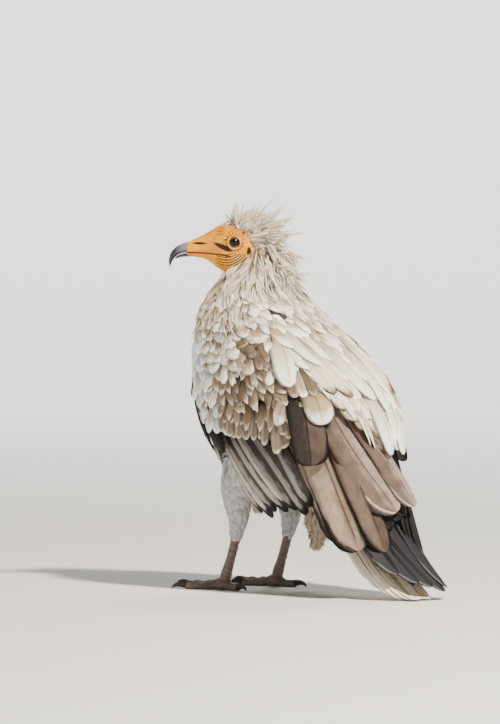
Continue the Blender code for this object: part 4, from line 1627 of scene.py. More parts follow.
@dataclass(frozen=True)
class Foot:
    """One leg below the feathers: tarsus, ball of the foot and four toes.

    Attributes:
        tarsus: Stations of the tarsus: x, y, z, half width and half depth.
        centre: The ball's place across and aft.
        pad: The ball's half width, half length and half height.
        pad_height: Height of its middle.
        toe_radius: Half thickness of a toe at its root.
        scutes: Plates down the tarsus.
        facets: Points round it.
        toes: Name, degrees outward of straight ahead, length and number of joints.
        claw: Distance past the toe's end, height and half thickness.
    """

    origin: Vector
    side: int
    tarsus: Table = mm(
        (41, 34, 90, 4.4, 5.2), (41, 30, 76, 6, 6.8), (41, 23, 58, 4.9, 5.7), (41, 14, 34, 4.9, 5.5),
        (41, 7, 17, 6.1, 6.7), (41, 5, 9, 5.2, 5.8),
    )
    centre: tuple[float, float] = (0.041, 0.003)
    pad: tuple[float, float, float] = (0.0098, 0.0102, 0.0075)
    pad_height: float = 0.0062
    toe_radius: float = 0.005
    scutes: int = 17
    facets: int = 40
    toes: tuple[tuple[str, float, float, int], ...] = (
        ("inner", -30.0, 0.04, 2), ("middle", 3.0, 0.06, 3), ("outer", 36.0, 0.044, 3),
        ("hind", 172.0, 0.029, 1),
    )
    claw: Table = mm(
        (-3, 4.6, 3.1), (0.9, 5, 3.2), (6, 5.7, 2.7), (11, 5.2, 2), (14.8, 3.2, 1.2), (16.6, 1.2, 0.4),
    )

    def shank(self) -> bpy.types.Object:
        """The tarsus, with plates down its front."""
        path = [(self.side * x, *rest) for x, *rest in self.tarsus]

        def plates(share: float, angle: float) -> float:
            """Raised plates across the front, separated by fine grooves."""
            front = 0.5 + 0.5 * math.cos(angle - 1.5 * math.pi)
            groove = bell((share * self.scutes) % 1.0, 0.5, 0.16)
            return 0.00035 * front ** 2 * (1 - 2.2 * groove) + 0.00012 * math.sin(9 * angle + 60 * share)

        rings = path_rings(self.origin, path, self.facets, ACROSS, 26, plates)
        fronts = [0.5 + 0.5 * math.cos(2 * math.pi * i / self.facets - 1.5 * math.pi)
                  for i in range(self.facets)]
        # painted shade in the grooves between the plates
        darks = [[0.75 * bell((k / (len(rings) - 1) * self.scutes) % 1.0, 0.5, 0.13) * front ** 2
                  for front in fronts] for k in range(len(rings))]
        return loft(rings, f"shank_{self.side}", darks)

    def ball(self) -> bpy.types.Object:
        """The ball of the foot, flat where it stands."""
        rings = []
        for k in range(1, 24):
            polar = math.pi * k / 24
            level = self.pad_height + self.pad[2] * math.cos(polar)
            centre = self.origin + Vector((self.side * self.centre[0], self.centre[1], max(level, 0.0)))
            grow = math.sin(polar)
            rings.append(ring(centre, ACROSS, AFT, self.pad[0] * grow, self.pad[1] * grow, 36,
                              relief=lambda angle: 0.0002 * math.sin(11 * angle)))
        flat = [r for r in rings if r[0].z > self.origin.z + 1e-5]
        return loft(flat + [rings[len(flat)]], f"ball_{self.side}")

    def heading(self, angle: float) -> Vector:
        """Level direction of a toe."""
        turn = math.radians(angle)
        return Vector((self.side * math.sin(turn), -math.cos(turn), 0))

    def held(self, place: Sequence[float]) -> Vector:
        """A place, raised to the floor where it lies below."""
        return Vector((*place[:2], max(place[2], self.origin.z)))

    def toe(self, name: str, angle: float, length: float, phalanges: int) -> bpy.types.Object:
        """A toe with swollen joints, and plates across its top."""
        heading = self.heading(angle)
        start = Vector((self.side * self.centre[0], self.centre[1], 0))
        path = []
        steps = 3 * phalanges
        for k in range(steps + 1):
            share = k / steps
            swell = 1.0 + 0.1 * math.cos(2 * math.pi * share * phalanges)
            radius = self.toe_radius * (1.0 - 0.16 * share) * swell
            height = radius * 0.86 + 0.0034 * math.exp(-((share / 0.22) ** 2))
            spot = start + heading * (0.004 + (length - 0.004) * share) + UP * height
            path.append((*spot, radius, radius))
        plates = max(round(length / 0.0034), 5)
        across = heading.cross(UP)

        def raised(share: float, turn: float) -> float:
            """Plates across the top, and pads under the joints."""
            top = max(-math.sin(turn), 0.0) if across.cross(heading).z > 0 else max(math.sin(turn), 0.0)
            groove = bell((share * plates) % 1.0, 0.5, 0.17)
            return 0.0004 * top * (1 - 2.0 * groove) + 0.0001 * math.sin(8 * turn + 40 * share)

        count = 32
        rings = path_rings(self.origin, path, count, across, 10 if phalanges > 1 else 24, raised)
        last = len(rings) - 1
        tapered = []
        for k, points in enumerate(rings):
            middle = sum(points, Vector()) / count
            past = max((k / last - 0.93) / 0.07, 0.0)
            shrink = math.sqrt(max(1 - 0.55 * past * past, 0.0))
            tapered.append([self.held([m + (c - m) * shrink for m, c in zip(middle, p)]) for p in points])
        # painted shade in the grooves between the plates across the toe's top
        darks = [[0.7 * bell((k / last * plates) % 1.0, 0.5, 0.15)
                  * step(0.0, 0.6, (p.z - self.origin.z) / 0.006 - 0.6) for p in points]
                 for k, points in enumerate(tapered)]
        return loft(tapered, f"toe_{name}_{self.side}", darks)

    def parts(self) -> list[bpy.types.Object]:
        """The leg's solids, to be united with the skin."""
        return [self.shank(), self.ball(), *(self.toe(*toe) for toe in self.toes)]

    def claws(self, finish: Finish, label: str) -> bpy.types.Object:
        """The four claws as one piece."""
        bm = bmesh.new()
        for _, angle, length, _ in self.toes:
            heading = self.heading(angle)
            end = Vector((self.side * self.centre[0], self.centre[1], 0)) + heading * length
            path = [(*(end + heading * past + UP * height), half, half * 1.15)
                    for past, height, half in self.claw]
            part = loft(path_rings(self.origin, path, 20, heading.cross(UP), 8), "claw")
            bm.from_mesh(part.data)
            bpy.data.objects.remove(part)
        for vertex in bm.verts:
            vertex.co = self.held(vertex.co)
        mesh = meshed(bm, f"claws_{label}", smooth=True)
        mesh.materials.append(finish.material())
        nodes = [f"claw_{label}_{name}" for name, *_ in self.toes]
        return hand_over(mesh, f"claws_{label}", "claw", nodes, len(self.toes))


@dataclass(frozen=True)
class Skin:
    """The one skin: head, neck, body under the coat, thighs and feet.

    Attributes:
        head: The head.
        neck: Height over the eyes, centre forward, half length and half width.
        body: Height, centre x and y, half width and half length inside the coat.
        thigh: Stations of the thigh inside its feathers.
        power: The body's superellipse power.
        facets: Points round the neck and the body.
    """

    origin: Vector
    head: Head
    neck: Table = mm(
        (-90, -18, 33, 30), (-71, -19, 28, 25), (-60, -18, 28, 24), (-50, -19, 27, 22.5),
        (-40, -20, 24.5, 20.5), (-25, -22.5, 20.5, 18.5), (-8, -24, 14, 15), (-3, -24, 8, 8),
    )
    body: Table = mm(
        (110, 0, 122, 26, 36), (125, 0, 113, 43, 60), (145, 0, 102, 55, 80), (170, 0, 92, 63, 94),
        (205, 0, 80, 70, 104), (228, 0, 72, 78, 106), (251, 0, 64.5, 76.5, 95.5), (274, 0, 49, 73.5, 80),
        (297, 0, 34.5, 65.5, 63.2), (322, 0, 19, 50, 51), (340, 0, 12, 34, 40),
    )
    thigh: Table = mm(
        (36, 44, 165, 17, 26), (40, 30, 130, 18, 21.5), (41, 26, 108, 14, 17), (41, 28, 86, 9.8, 12.2),
        (41, 25.5, 70, 6.8, 8), (41, 22, 56, 5, 5.6),
    )
    power: float = 2.6
    facets: int = 72

    def stack(self) -> bpy.types.Object:
        """The neck."""
        frame = self.head.frame
        rings = []
        low, high = self.neck[0][0], self.neck[-1][0]
        for k in range(41):
            up = low + (high - low) * k / 40
            centre, half_length, half_width = smooth(self.neck, up)
            rings.append(ring(frame.place(centre, 0, up), frame.forward, frame.left, half_length, half_width,
                              self.facets))
        return loft(rings, "stack")

    def trunk(self) -> bpy.types.Object:
        """The body under the wings."""
        rings = []
        low, high = self.body[0][0], self.body[-1][0]
        for k in range(37):
            z = low + (high - low) * (0.5 - 0.5 * math.cos(math.pi * k / 36))
            _, y, half_width, half_length = smooth(self.body, z)
            rings.append(ring(self.origin + Vector((0, y, z)), ACROSS, AFT, half_width, half_length,
                              self.facets, self.power))
        return loft(rings, "belly")

    def build(self, finish: Finish) -> bpy.types.Object:
        """Unites the parts and hands the skin over."""
        feet = [Foot(self.origin, side) for side in SIDES.values()]
        thighs = []
        for side in SIDES.values():
            path = [(side * x, *rest) for x, *rest in self.thigh]
            thighs.append(loft(path_rings(self.origin, path, 40, ACROSS, 6), f"ham_{side}"))
        lids = [self.head.lids(side) for side in SIDES.values()]
        parts = [self.head.skull(), *lids, self.stack(), self.trunk(), *thighs]
        for foot in feet:
            parts += foot.parts()
        mesh = united(parts, "skin")
        mesh.materials.clear()
        mesh.materials.append(finish.material())
        mesh.shade_smooth()
        nodes = ["head", "lower_jaw", "neck", "trunk"]
        for label in SIDES:
            nodes += [f"{name}_{label}" for name in ("thigh", "tarsus", "foot")]
            nodes += [f"toe_{label}_{name}" for name, *_ in feet[0].toes]
        return hand_over(mesh, "skin", "face", nodes)


@dataclass(frozen=True)
class Bill:
    """The horn of the bill: the hook over the tip and the end of the lower half.

    Attributes:
        hook: Forward, up, half depth and half width along the upper half.
        lower: The same along the lower half.
    """

    frame: HeadFrame
    hook: Table = mm(
        (52, -6.6, 5.6, 6.4), (54.3, -7, 5.7, 6.4), (60, -8.2, 5.1, 5.7), (65.5, -10.8, 4.4, 4.7),
        (70, -15.2, 3.5, 3.6), (72.8, -20.4, 2.4, 2.5), (73.8, -25, 1.4, 1.5), (73.6, -29, 0.4, 0.4),
    )
    lower: Table = mm(
        (52, -15.3, 1.9, 5), (54.3, -15.4, 1.8, 4.6), (60, -16.1, 1.7, 3.9), (64, -17.3, 1.4, 3),
        (66.5, -18.8, 0.9, 1.7), (67.8, -20, 0.4, 0.6),
    )

    def half(self, stations: Table, name: str, finish: Finish) -> bpy.types.Object:
        """One half's horn, with a keel along its top."""
        path = [(*(self.frame.place(f, 0, u) - self.frame.origin), width, depth)
                for f, u, depth, width in stations]

        def keel(share: float, angle: float) -> float:
            """A soft ridge along the outer curve."""
            return 0.0003 * (1 - share) * bell(abs(math.sin(angle)), 1.0, 0.1)

        mesh = loft(path_rings(self.frame.origin, path, 40, self.frame.left, 12, keel), name).data
        mesh.materials.append(finish.material())
        return hand_over(mesh, name + "_horn", "horn", [name])

    def build(self, finish: Finish) -> None:
        """Both halves."""
        self.half(self.hook, "bill_hook", finish)
        self.half(self.lower, "bill_lower_tip", finish)


@dataclass(frozen=True)
class Eyes:
    """Both eyeballs, each with a low cornea.

    Attributes:
        head: The head, which says where they sit.
        radius: The ball's radius.
        cornea: Height of the cornea over the ball.
    """

    head: Head
    radius: float = 0.008
    cornea: float = 0.0005

    def build(self, finish: Finish) -> None:
        """Both balls."""
        frame = self.head.frame
        for label, side in SIDES.items():
            bm = bmesh.new()
            bmesh.ops.create_uvsphere(bm, u_segments=64, v_segments=40, radius=self.radius)
            centre = frame.place(0, side * self.head.eye_out, self.head.eye_up)
            axis = frame.left * side
            for vertex in bm.verts:
                around = math.acos(min(max(vertex.co.normalized().dot(axis), -1.0), 1.0))
                vertex.co *= 1 + self.cornea / self.radius * bell(around, 0.0, 0.5)
                vertex.co += centre
            name = f"eyeball_{label}"
            mesh = meshed(bm, name, smooth=True)
            mesh.materials.append(finish.material())
            hand_over(mesh, name, "eye", [f"eye_{label}"])


# ---------------------------------------------------------------- plumage: colours


class Tint:
    """The palettes of the coat, from white hackles to black flight feathers."""

    WHITE = Palette((0.46, 0.355, 0.24), (0.92, 0.87, 0.77), 0.18, 0.46, 0.18)
    CREAM = Palette((0.6, 0.48, 0.335), (0.86, 0.78, 0.64), 0.3, 0.5)
    BREAST = Palette((0.62, 0.53, 0.41), (0.9, 0.86, 0.78), 0.16, 0.5, 0.14)
    LESSER = Palette((0.4, 0.305, 0.205), (0.9, 0.87, 0.8), 0.22, 0.42, 0.2)
    BUFF = Palette((0.36, 0.28, 0.19), (0.78, 0.72, 0.62), 0.42, 0.45, 0.18)
    BROWN = Palette((0.145, 0.105, 0.07), (0.42, 0.335, 0.245), 0.58, 0.45, 0.22)
    MEDIAN = Palette((0.25, 0.185, 0.12), (0.76, 0.7, 0.59), 0.4, 0.45, 0.2)
    GREATER = Palette((0.2, 0.157, 0.115), (0.66, 0.6, 0.51), 0.66, 0.34, 0.16, (0.3, 0.24, 0.18))
    # white feathers greyed bluish: painted shade on the wing's front
    SHADED_WHITE = Palette((0.52, 0.52, 0.52), (0.9, 0.92, 0.94), 0.16, 0.45, 0.08)
    DUSKY = Palette((0.06, 0.045, 0.036), (0.22, 0.175, 0.13), 0.8, 0.3, 0.25)
    SILVER = Palette((0.085, 0.066, 0.054), (0.008, 0.007, 0.007), 0.72, 0.14, 0.5, (0.43, 0.395, 0.355))
    BLACK = Palette((0.009, 0.008, 0.009), (0.02, 0.018, 0.019), 0.9, 0.15, 0.15)
    SLATE = Palette((0.013, 0.012, 0.014), (0.12, 0.115, 0.115), 0.985, 0.03, 0.12, (0.022, 0.02, 0.024))
    TAUPE = Palette((0.135, 0.092, 0.066), (0.4, 0.32, 0.24), 0.98, 0.1, 0.14, (0.205, 0.148, 0.104))
    # Tertials TAN, TAN_DEEP, RUSSET and SEPIA: over the feathers' own browns, the paler web paints the
    # highlight along each ridge, the darker web its shade, and the dark rims the shade at their lower ends
    # and edges
    TAN = Palette((0.155, 0.112, 0.082), (0.04, 0.029, 0.023), 0.84, 0.2, 0.05, (0.3, 0.235, 0.175))
    TAN_DEEP = Palette((0.155, 0.108, 0.076), (0.045, 0.032, 0.025), 0.82, 0.2, 0.05, (0.235, 0.172, 0.122))
    RUSSET = Palette((0.08, 0.056, 0.044), (0.04, 0.03, 0.026), 0.86, 0.2, 0.05, (0.125, 0.085, 0.064))
    # PINKISH: its dark web is painted shadow between it and the next tertial
    PINKISH = Palette((0.27, 0.21, 0.172), (0.5, 0.42, 0.36), 0.985, 0.05, 0.05, (0.125, 0.088, 0.068))
    SEPIA = Palette((0.066, 0.047, 0.037), (0.028, 0.022, 0.02), 0.93, 0.1, 0.05, (0.036, 0.028, 0.026))
    BIG_WHITE = Palette((0.8, 0.72, 0.6), (0.96, 0.94, 0.88), 0.15, 0.5, 0.04)
    BIG_BASED = Palette((0.42, 0.315, 0.2), (0.88, 0.85, 0.78), 0.28, 0.4, 0.05)
    SATIN = Palette((0.78, 0.7, 0.57), (0.95, 0.92, 0.84), 0.25, 0.6, 0.06)
    # TAWNY: its tan middle is the feathers' own; the dark rims paint the shade along the scapulars' lower
    # edge, where they lie over the tertials
    TAWNY = Palette((0.72, 0.63, 0.49), (0.16, 0.11, 0.07), 0.58, 0.4, 0.14)
    # the tail's own cream, brightened toward white to paint the sunlight on it
    TAIL = Palette((0.84, 0.67, 0.47), (1.0, 0.94, 0.8), 0.8, 0.2, 0.05, (1.0, 0.87, 0.68))
    # the white thigh feathers greyed bluish: painted shade under the body
    THIGH = Palette((0.36, 0.355, 0.355), (0.52, 0.525, 0.54), 0.2, 0.6, 0.04)
    TROUSER = Palette((0.3, 0.225, 0.15), (0.6, 0.5, 0.38), 0.2, 0.6, 0.12)
    HACKLE = Palette((0.38, 0.265, 0.16), (0.88, 0.79, 0.65), 0.2, 0.45, 0.24)
    CROWN = Palette((0.58, 0.4, 0.22), (0.8, 0.64, 0.43), 0.15, 0.6, 0.16)
    CREST = Palette((0.74, 0.56, 0.37), (0.94, 0.86, 0.71), 0.05, 0.5, 0.16)
    HOOD = Palette((0.66, 0.52, 0.37), (0.86, 0.75, 0.59), 0.1, 0.6, 0.2)


# ---------------------------------------------------------------- plumage: sub-assemblies


@dataclass(frozen=True)
class Nest:
    """What every part of the plumage is built with.

    Attributes:
        vanes: The collection of feather prototypes.
    """

    origin: Vector
    frame: HeadFrame
    vanes: bpy.types.Collection

    @staticmethod
    def gather() -> bpy.types.Collection:
        """Makes the prototypes, named so that they sort in the order of Vane."""
        vanes = bpy.data.collections.new("vanes")
        for kind, form in VANES.items():
            vanes.objects.link(form.build(f"vane_{kind.value}_{kind.name.lower()}"))
        return vanes

    def coat(self, name: str, finish: Finish, slot: str, plumes: list[Plume], *nodes: str,
             fray: float = 0.04) -> None:
        """Makes a piece of feathers that stands for some nodes."""
        Coat(name, finish, slot, nodes, fray, plumes).build(self.vanes)

    def clear(self) -> None:
        """Removes the prototypes."""
        for vane in list(self.vanes.objects):
            bpy.data.objects.remove(vane)
        bpy.data.collections.remove(self.vanes)


FEATHER = FeatherFinish("feather", 0.78, streak=0.26, shaft_tone=(0.74, 0.68, 0.6), root_shade=0.72, line=0.62)
FLIGHT = FeatherFinish("flight feather", 0.55, barbs=110.0, shaft=0.03, shaft_tone=(0.34, 0.29, 0.26),
                       root_shade=0.4, edge=0.85)
BANDED = FeatherFinish("banded flight feather", 0.5, barbs=120.0, shaft=0.03, shaft_tone=(1.6, 1.6, 1.6),
                       streak=0.14, root_shade=0.8, edge=0.35, wander=1.5, blend=0.8)
TERTIAL = FeatherFinish("tertial feather", 0.62, barbs=110.0, shaft=0.026, shaft_tone=(0.42, 0.36, 0.32),
                        streak=0.24, root_shade=0.5, edge=0.85, line=0.7, wander=0.9, blend=0.5, mottle=1.1,
                        clouds=75.0)
SOFT = FeatherFinish("soft feather", 0.85, shaft_tone=(0.92, 0.9, 0.88), streak=0.14, root_shade=0.25, line=0.1)
LOCK = LockFinish("lock", 0.8)


@dataclass(frozen=True)
class Wing:
    """One folded wing: coverts over primary coverts, secondaries, tertials and primaries.

    The feathers that are placed one by one are rows of angle and height in mm of the root and of the
    tip, half width in mm and palette; placed() lays them.

    Attributes:
        covert_columns: Angle and height of root and tip of the columns that the coverts fill.
        stacking: How much higher each placed feather lies than the one before.
        FRONTS: White coverts behind the bend, one greyed bluish as painted shade.
        MEDIANS: Buff and brown median coverts.
        GREATERS: Greater coverts at the flight feathers' roots.
        OVALS: The large rounded scapulars and coverts at the shoulder.
        BEND: The dark feathers at the wing's front edge.
        LONGS: The large tertials, each with its height over the outline in mm; the black one paints the shade
            in the gap between the russet one and the pinkish ones.
        STREAMERS: Narrow scapulars that hang over the tertials.
        SHEETS: Broad smooth scapulars over the back, with one dusky feather that paints the shade in the slot
            by the coverts.
        LAST: The two longest scapulars.
    """

    nest: Nest
    label: str
    covert_columns: Table = (
        (-58, 0.31, -50, 0.198), (-40, 0.322, -30, 0.186), (-18, 0.328, -8, 0.182), (2, 0.33, 8, 0.177),
        (20, 0.331, 19, 0.17), (33, 0.332, 31, 0.2), (48, 0.333, 48, 0.222),
    )
    stacking: float = 0.00006
    FRONTS: ClassVar[Marks] = (
        (-16, 256, -38, 218, 7, Tint.BIG_WHITE), (-15, 215, -29, 182, 7, Tint.SHADED_WHITE),
        (-4, 241, -16, 210, 6.5, Tint.BIG_WHITE), (-12, 232, -27, 206, 6, Tint.BUFF),
        (-8, 259, -17, 228, 6.5, Tint.BIG_WHITE), (0, 270, -3, 239, 6.5, Tint.BIG_WHITE),
        (-26, 270, -40, 244, 6.5, Tint.BIG_WHITE), (-20, 288, -31, 262, 6, Tint.BIG_WHITE),
    )
    MEDIANS: ClassVar[Marks] = (
        (-3, 231, -11, 199, 7.5, Tint.MEDIAN), (0, 229, -5, 197, 6.5, Tint.MEDIAN),
        (0, 222, -2, 190, 6.5, Tint.BUFF), (2, 222, 0, 186, 8.5, Tint.MEDIAN),
        (10, 220, 5, 186, 8, Tint.MEDIAN), (5, 250, 0, 214, 8, Tint.BROWN),
        (10, 243, 5, 210, 7, Tint.MEDIAN), (19, 243, 14, 211, 6.5, Tint.BROWN),
        (15, 213, 11, 186, 6, Tint.BUFF), (0, 263, 0, 236, 6.5, Tint.LESSER),
        (9, 268, 3, 243, 6.5, Tint.BUFF), (14, 263, 9, 238, 6.5, Tint.BUFF),
        (24, 270, 19, 244, 7, Tint.BROWN), (30, 288, 24, 254, 9, Tint.BROWN),
        (38, 298, 30, 264, 9, Tint.BROWN),
    )
    GREATERS: ClassVar[Marks] = (
        (-9, 215, -13, 184, 7, Tint.GREATER), (-4, 212, -8, 179, 7, Tint.GREATER),
        (0, 210, -3, 177, 6.5, Tint.GREATER), (4, 212, 1, 176, 6.5, Tint.GREATER),
        (11, 209, 5, 171, 6.5, Tint.GREATER), (18, 206, 11, 162, 8, Tint.GREATER),
    )
    OVALS: ClassVar[Marks] = (
        (43, 307, 20, 256, 11, Tint.BROWN), (29, 263, 20, 239, 6.5, Tint.BIG_WHITE),
        (32, 235, 17, 195, 10, Tint.BIG_BASED), (55, 246, 54, 196, 17, Tint.BIG_BASED),
        (58, 266, 54, 228, 7.5, Tint.BROWN), (60, 298, 38, 238, 17, Tint.BIG_WHITE),
        (44, 270, 38, 226, 9, Tint.BROWN), (52, 268, 45, 226, 8, Tint.BUFF),
    )
    BEND: ClassVar[Marks] = (
        (-50, 232, -44, 176, 5.5, Tint.BLACK), (-54, 222, -42, 170, 5, Tint.BLACK),
        (-44, 200, -32, 160, 5, Tint.BLACK),
    )
    LONGS: ClassVar[Sequence[tuple[float, Marks]]] = (
        (-13.2, ((36, 228, 35, 66, 21, Tint.TAN_DEEP),)), (-12.4, ((44, 228, 48, 56, 26, Tint.TAN),)),
        # the black one at -9.6 is painted shade in the gap between the russet tertial and the pinkish ones
        (-13.0, ((64, 228, 78, 54, 21, Tint.RUSSET),)), (-9.6, ((60, 233, 87, 96, 24, Tint.BLACK),)),
        (-4.6, ((62, 234, 91, 98, 25, Tint.PINKISH),)), (-2.6, ((78, 238, 105, 102, 21, Tint.PINKISH),)),
        (0.2, ((47, 244, 34, 150, 21, Tint.SEPIA),)),
    )
    STREAMERS: ClassVar[Marks] = (
        (93, 255, 93, 161, 7, Tint.TAWNY), (84, 253, 90, 166, 6, Tint.CREAM),
        (80, 255, 89, 170, 5.5, Tint.SATIN), (74, 255, 87, 199, 5, Tint.TAWNY),
        (69, 259, 81, 201, 5, Tint.SATIN), (63, 263, 71, 213, 4.5, Tint.TAWNY),
        (60, 271, 66, 223, 5, Tint.SATIN),
    )
    SHEETS: ClassVar[Marks] = (
        (66, 282, 72, 230, 11, Tint.TAWNY), (76, 296, 84, 226, 15, Tint.TAWNY),
        (88, 302, 93, 222, 17, Tint.SATIN), (101, 298, 102, 214, 16, Tint.SATIN),
        (112, 290, 111, 208, 14, Tint.SATIN), (68, 308, 78, 260, 15, Tint.SATIN),
        (82, 316, 90, 262, 16, Tint.SATIN), (96, 318, 100, 262, 15, Tint.BIG_WHITE),
        (109, 312, 111, 256, 14, Tint.SATIN), (56, 316, 66, 280, 12, Tint.LESSER),
        # the dusky one at 60 degrees and 327 mm is painted shade in the slot between the scapulars and the
        # coverts
        (60, 327, 92, 303, 7.5, Tint.DUSKY), (62, 338, 98, 311, 9, Tint.BIG_WHITE),
    )
    LAST: ClassVar[Marks] = (
        (106, 259, 106, 165, 11, Tint.BIG_WHITE), (92, 255, 96, 160, 14, Tint.BIG_WHITE),
    )

    @property
    def form(self) -> Slices:
        """The folded wing's outline."""
        return envelope(self.nest.origin, SIDES[self.label])

    @property
    def left(self) -> bool:
        """Whether it is the left wing, which lies over the right one."""
        return self.label == "left"

    def node(self, group: str) -> str:
        """Name of a group's node in the frame."""
        return f"wing_{self.label}_{group}"

    def coat(self, group: str, finish: Finish, slot: str, plumes: list[Plume], fray: float = 0.04) -> None:
        """Makes a group's piece, which stands for its node."""
        self.nest.coat(self.node(group) + "_vanes", finish, slot, plumes, self.node(group), fray=fray)

    def build(self) -> None:
        """Every group of feathers."""
        self.coverts()
        self.edge()
        self.secondaries()
        self.tertials()
        self.scapulars()
        self.primaries()

    def coverts(self) -> None:
        """Irregular rows of coverts, with the larger marked ones laid over them one by one."""
        lesser = Lay(Vane.CONTOUR, 0.0115, Tint.LESSER, root_out=-0.0062, tip_out=0.0002, arch=0.0012, roll=8)
        median = Lay(Vane.POINTED, 0.0094, Tint.MEDIAN, root_out=-0.0066, tip_out=0.0, arch=0.0012, roll=8)
        greater = Lay(Vane.ROUND, 0.0086, Tint.GREATER, root_out=-0.008, tip_out=-0.0012, arch=0.001, roll=6)
        rows = [Row(share, 14, 0.022 + 0.03 * share, lesser, jitter=0.26)
                for share in (0.03, 0.11, 0.19, 0.27, 0.35, 0.43, 0.5)]
        rows += [Row(share, 15, 0.034, median, jitter=0.26) for share in (0.57, 0.65, 0.73, 0.82)]
        rows += [Row(share, 14, 0.036, greater, jitter=0.16) for share in (0.91, 1.0)]

        def dress(across: float, along: float, lay: Lay) -> Lay:
            """White at the front, greyed bluish there as painted shade, with a black edge; buff and brown
            toward the shoulder.
            """
            if across < 0.07 and along > 0.62:
                return replace(lay, palette=Tint.DUSKY)
            # the bluish grey on the front coverts is painted shade on white feathers
            if across < 0.32:
                return replace(lay, palette=Tint.SHADED_WHITE if along > 0.2 else Tint.LESSER)
            brown = bell(across, 0.68, 0.13) * bell(along, 0.42, 0.2)
            if brown > 0.6:
                return replace(lay, palette=Tint.BROWN)
            if brown > 0.3:
                return replace(lay, palette=Tint.BUFF)
            return lay

        rows.reverse()
        tract = Tract(self.form, self.covert_columns, tuple(rows), seed=3 + SIDES[self.label], dress=dress)
        plumes = tract.grow() + self.placed(self.GREATERS, rise=0.0002)
        plumes += self.placed(self.MEDIANS, vane=Vane.POINTED, rise=0.0008)
        plumes += self.placed(self.FRONTS, rise=0.0008) + self.placed(self.OVALS, rise=0.0018)
        self.coat("coverts", FEATHER, "coverts", plumes)

    def placed(self, rows: Marks, vane: Vane = Vane.ROUND, rise: float = 0.0, root_out: float = -0.0045,
               arch: float = 0.0012, cup: float = 0.2) -> list[Plume]:
        """Feathers given one by one, each a little over the one before.

        Args:
            rows: Angle and height in mm of root and of tip, half width in mm and palette of each.
            vane: Their kind.
            rise: How far the first one's tip stands out.
            root_out: How far their roots are from the outline.
            arch: How far their middles rise.
            cup: How far their edges curve down.

        Returns:
            The feathers.
        """
        plumes = []
        for k, (root_a, root_b, tip_a, tip_b, half, palette) in enumerate(rows):
            higher = self.stacking * k
            roll = 4 + 3 * (k % 3)
            lay = Lay(vane, half / 1000, palette, root_out + higher, rise + higher, arch, roll, cup)
            patch = (min(max((tip_a + 60) / 200, 0.0), 0.99), min(max(tip_b / 360, 0.0), 0.99))
            plumes.append(lay_plume(self.form, (root_a, root_b / 1000), (tip_a, tip_b / 1000), lay, patch))
        return plumes

    def fan(self, columns: Table, count: int, half: float, palette: Palette, depth: float, rise: float,
            vane: Vane = Vane.FLIGHT, roll: float = 3.0, start: float = 0.0, arch: float = 0.0,
            jitter: float = 0.0, lower_first: bool = False) -> list[Plume]:
        """Long feathers side by side, each a little higher than the one before.

        Args:
            columns: For each column the coordinates of its root and of its tip.
            count: How many feathers.
            half: Half their width.
            palette: Their colours.
            depth: How far the first one lies inside the outline.
            rise: How much higher each next one lies.
            vane: Their kind.
            roll: Degrees by which they are turned about their shafts.
            start: Share of each column at which they start.
            arch: How far their middles rise.
            jitter: Share by which their tips stray.
            lower_first: Turns the stacking round.

        Returns:
            The feathers.
        """
        dice = random.Random(count)
        tract = Tract(self.form, columns, ())
        spread = tract.evened(0.75)
        plumes = []
        for i in range(count):
            across = spread((i + 0.5) / count)
            level = (count - 1 - i if lower_first else i) * rise - depth
            lay = Lay(vane, half, palette, level - 0.001, level, arch, roll, 0.12)
            end = 1.0 + jitter * dice.uniform(-1, 0.3)
            root, tip = tract.at(across, start), tract.at(across, end)
            plumes.append(lay_plume(self.form, root, tip, lay, (0.98 * across, 0.9)))
        return plumes

    def edge(self) -> None:
        """The dark bend of the wing at the front, with the primary coverts below it."""
        columns = ((-58, 0.225, -50, 0.18), (-46, 0.205, -34, 0.166), (-28, 0.19, -20, 0.16))
        plumes = self.fan(columns, 7, 0.008, Tint.BLACK, 0.0062, 0.0004, vane=Vane.ROUND, roll=5, arch=0.001)
        plumes += self.placed(self.BEND, vane=Vane.POINTED, rise=0.0002, root_out=-0.003)
        self.nest.coat(self.node("edge") + "_vanes", FLIGHT, "flight", plumes, self.node("primary_coverts"))

    def secondaries(self) -> None:
        """Silver-webbed secondaries below the coverts."""
        columns = ((-58, 0.2, -28, 0.089), (-36, 0.196, -6, 0.091), (-14, 0.196, 1.5, 0.097),
                   (-5, 0.196, 8.5, 0.095), (3, 0.192, 14.5, 0.098), (14, 0.19, 21, 0.104))
        palette, depth = Tint.SILVER, 0.015
        if not self.left:
            palette, depth = replace(palette, middle=palette.web, web=palette.middle), 0.0172
        plumes = self.fan(columns, 8, 0.0112, palette, depth, 0.0004, roll=6, jitter=0.05, arch=0.0015)
        self.coat("secondaries", BANDED, "flight", plumes, 0.015)

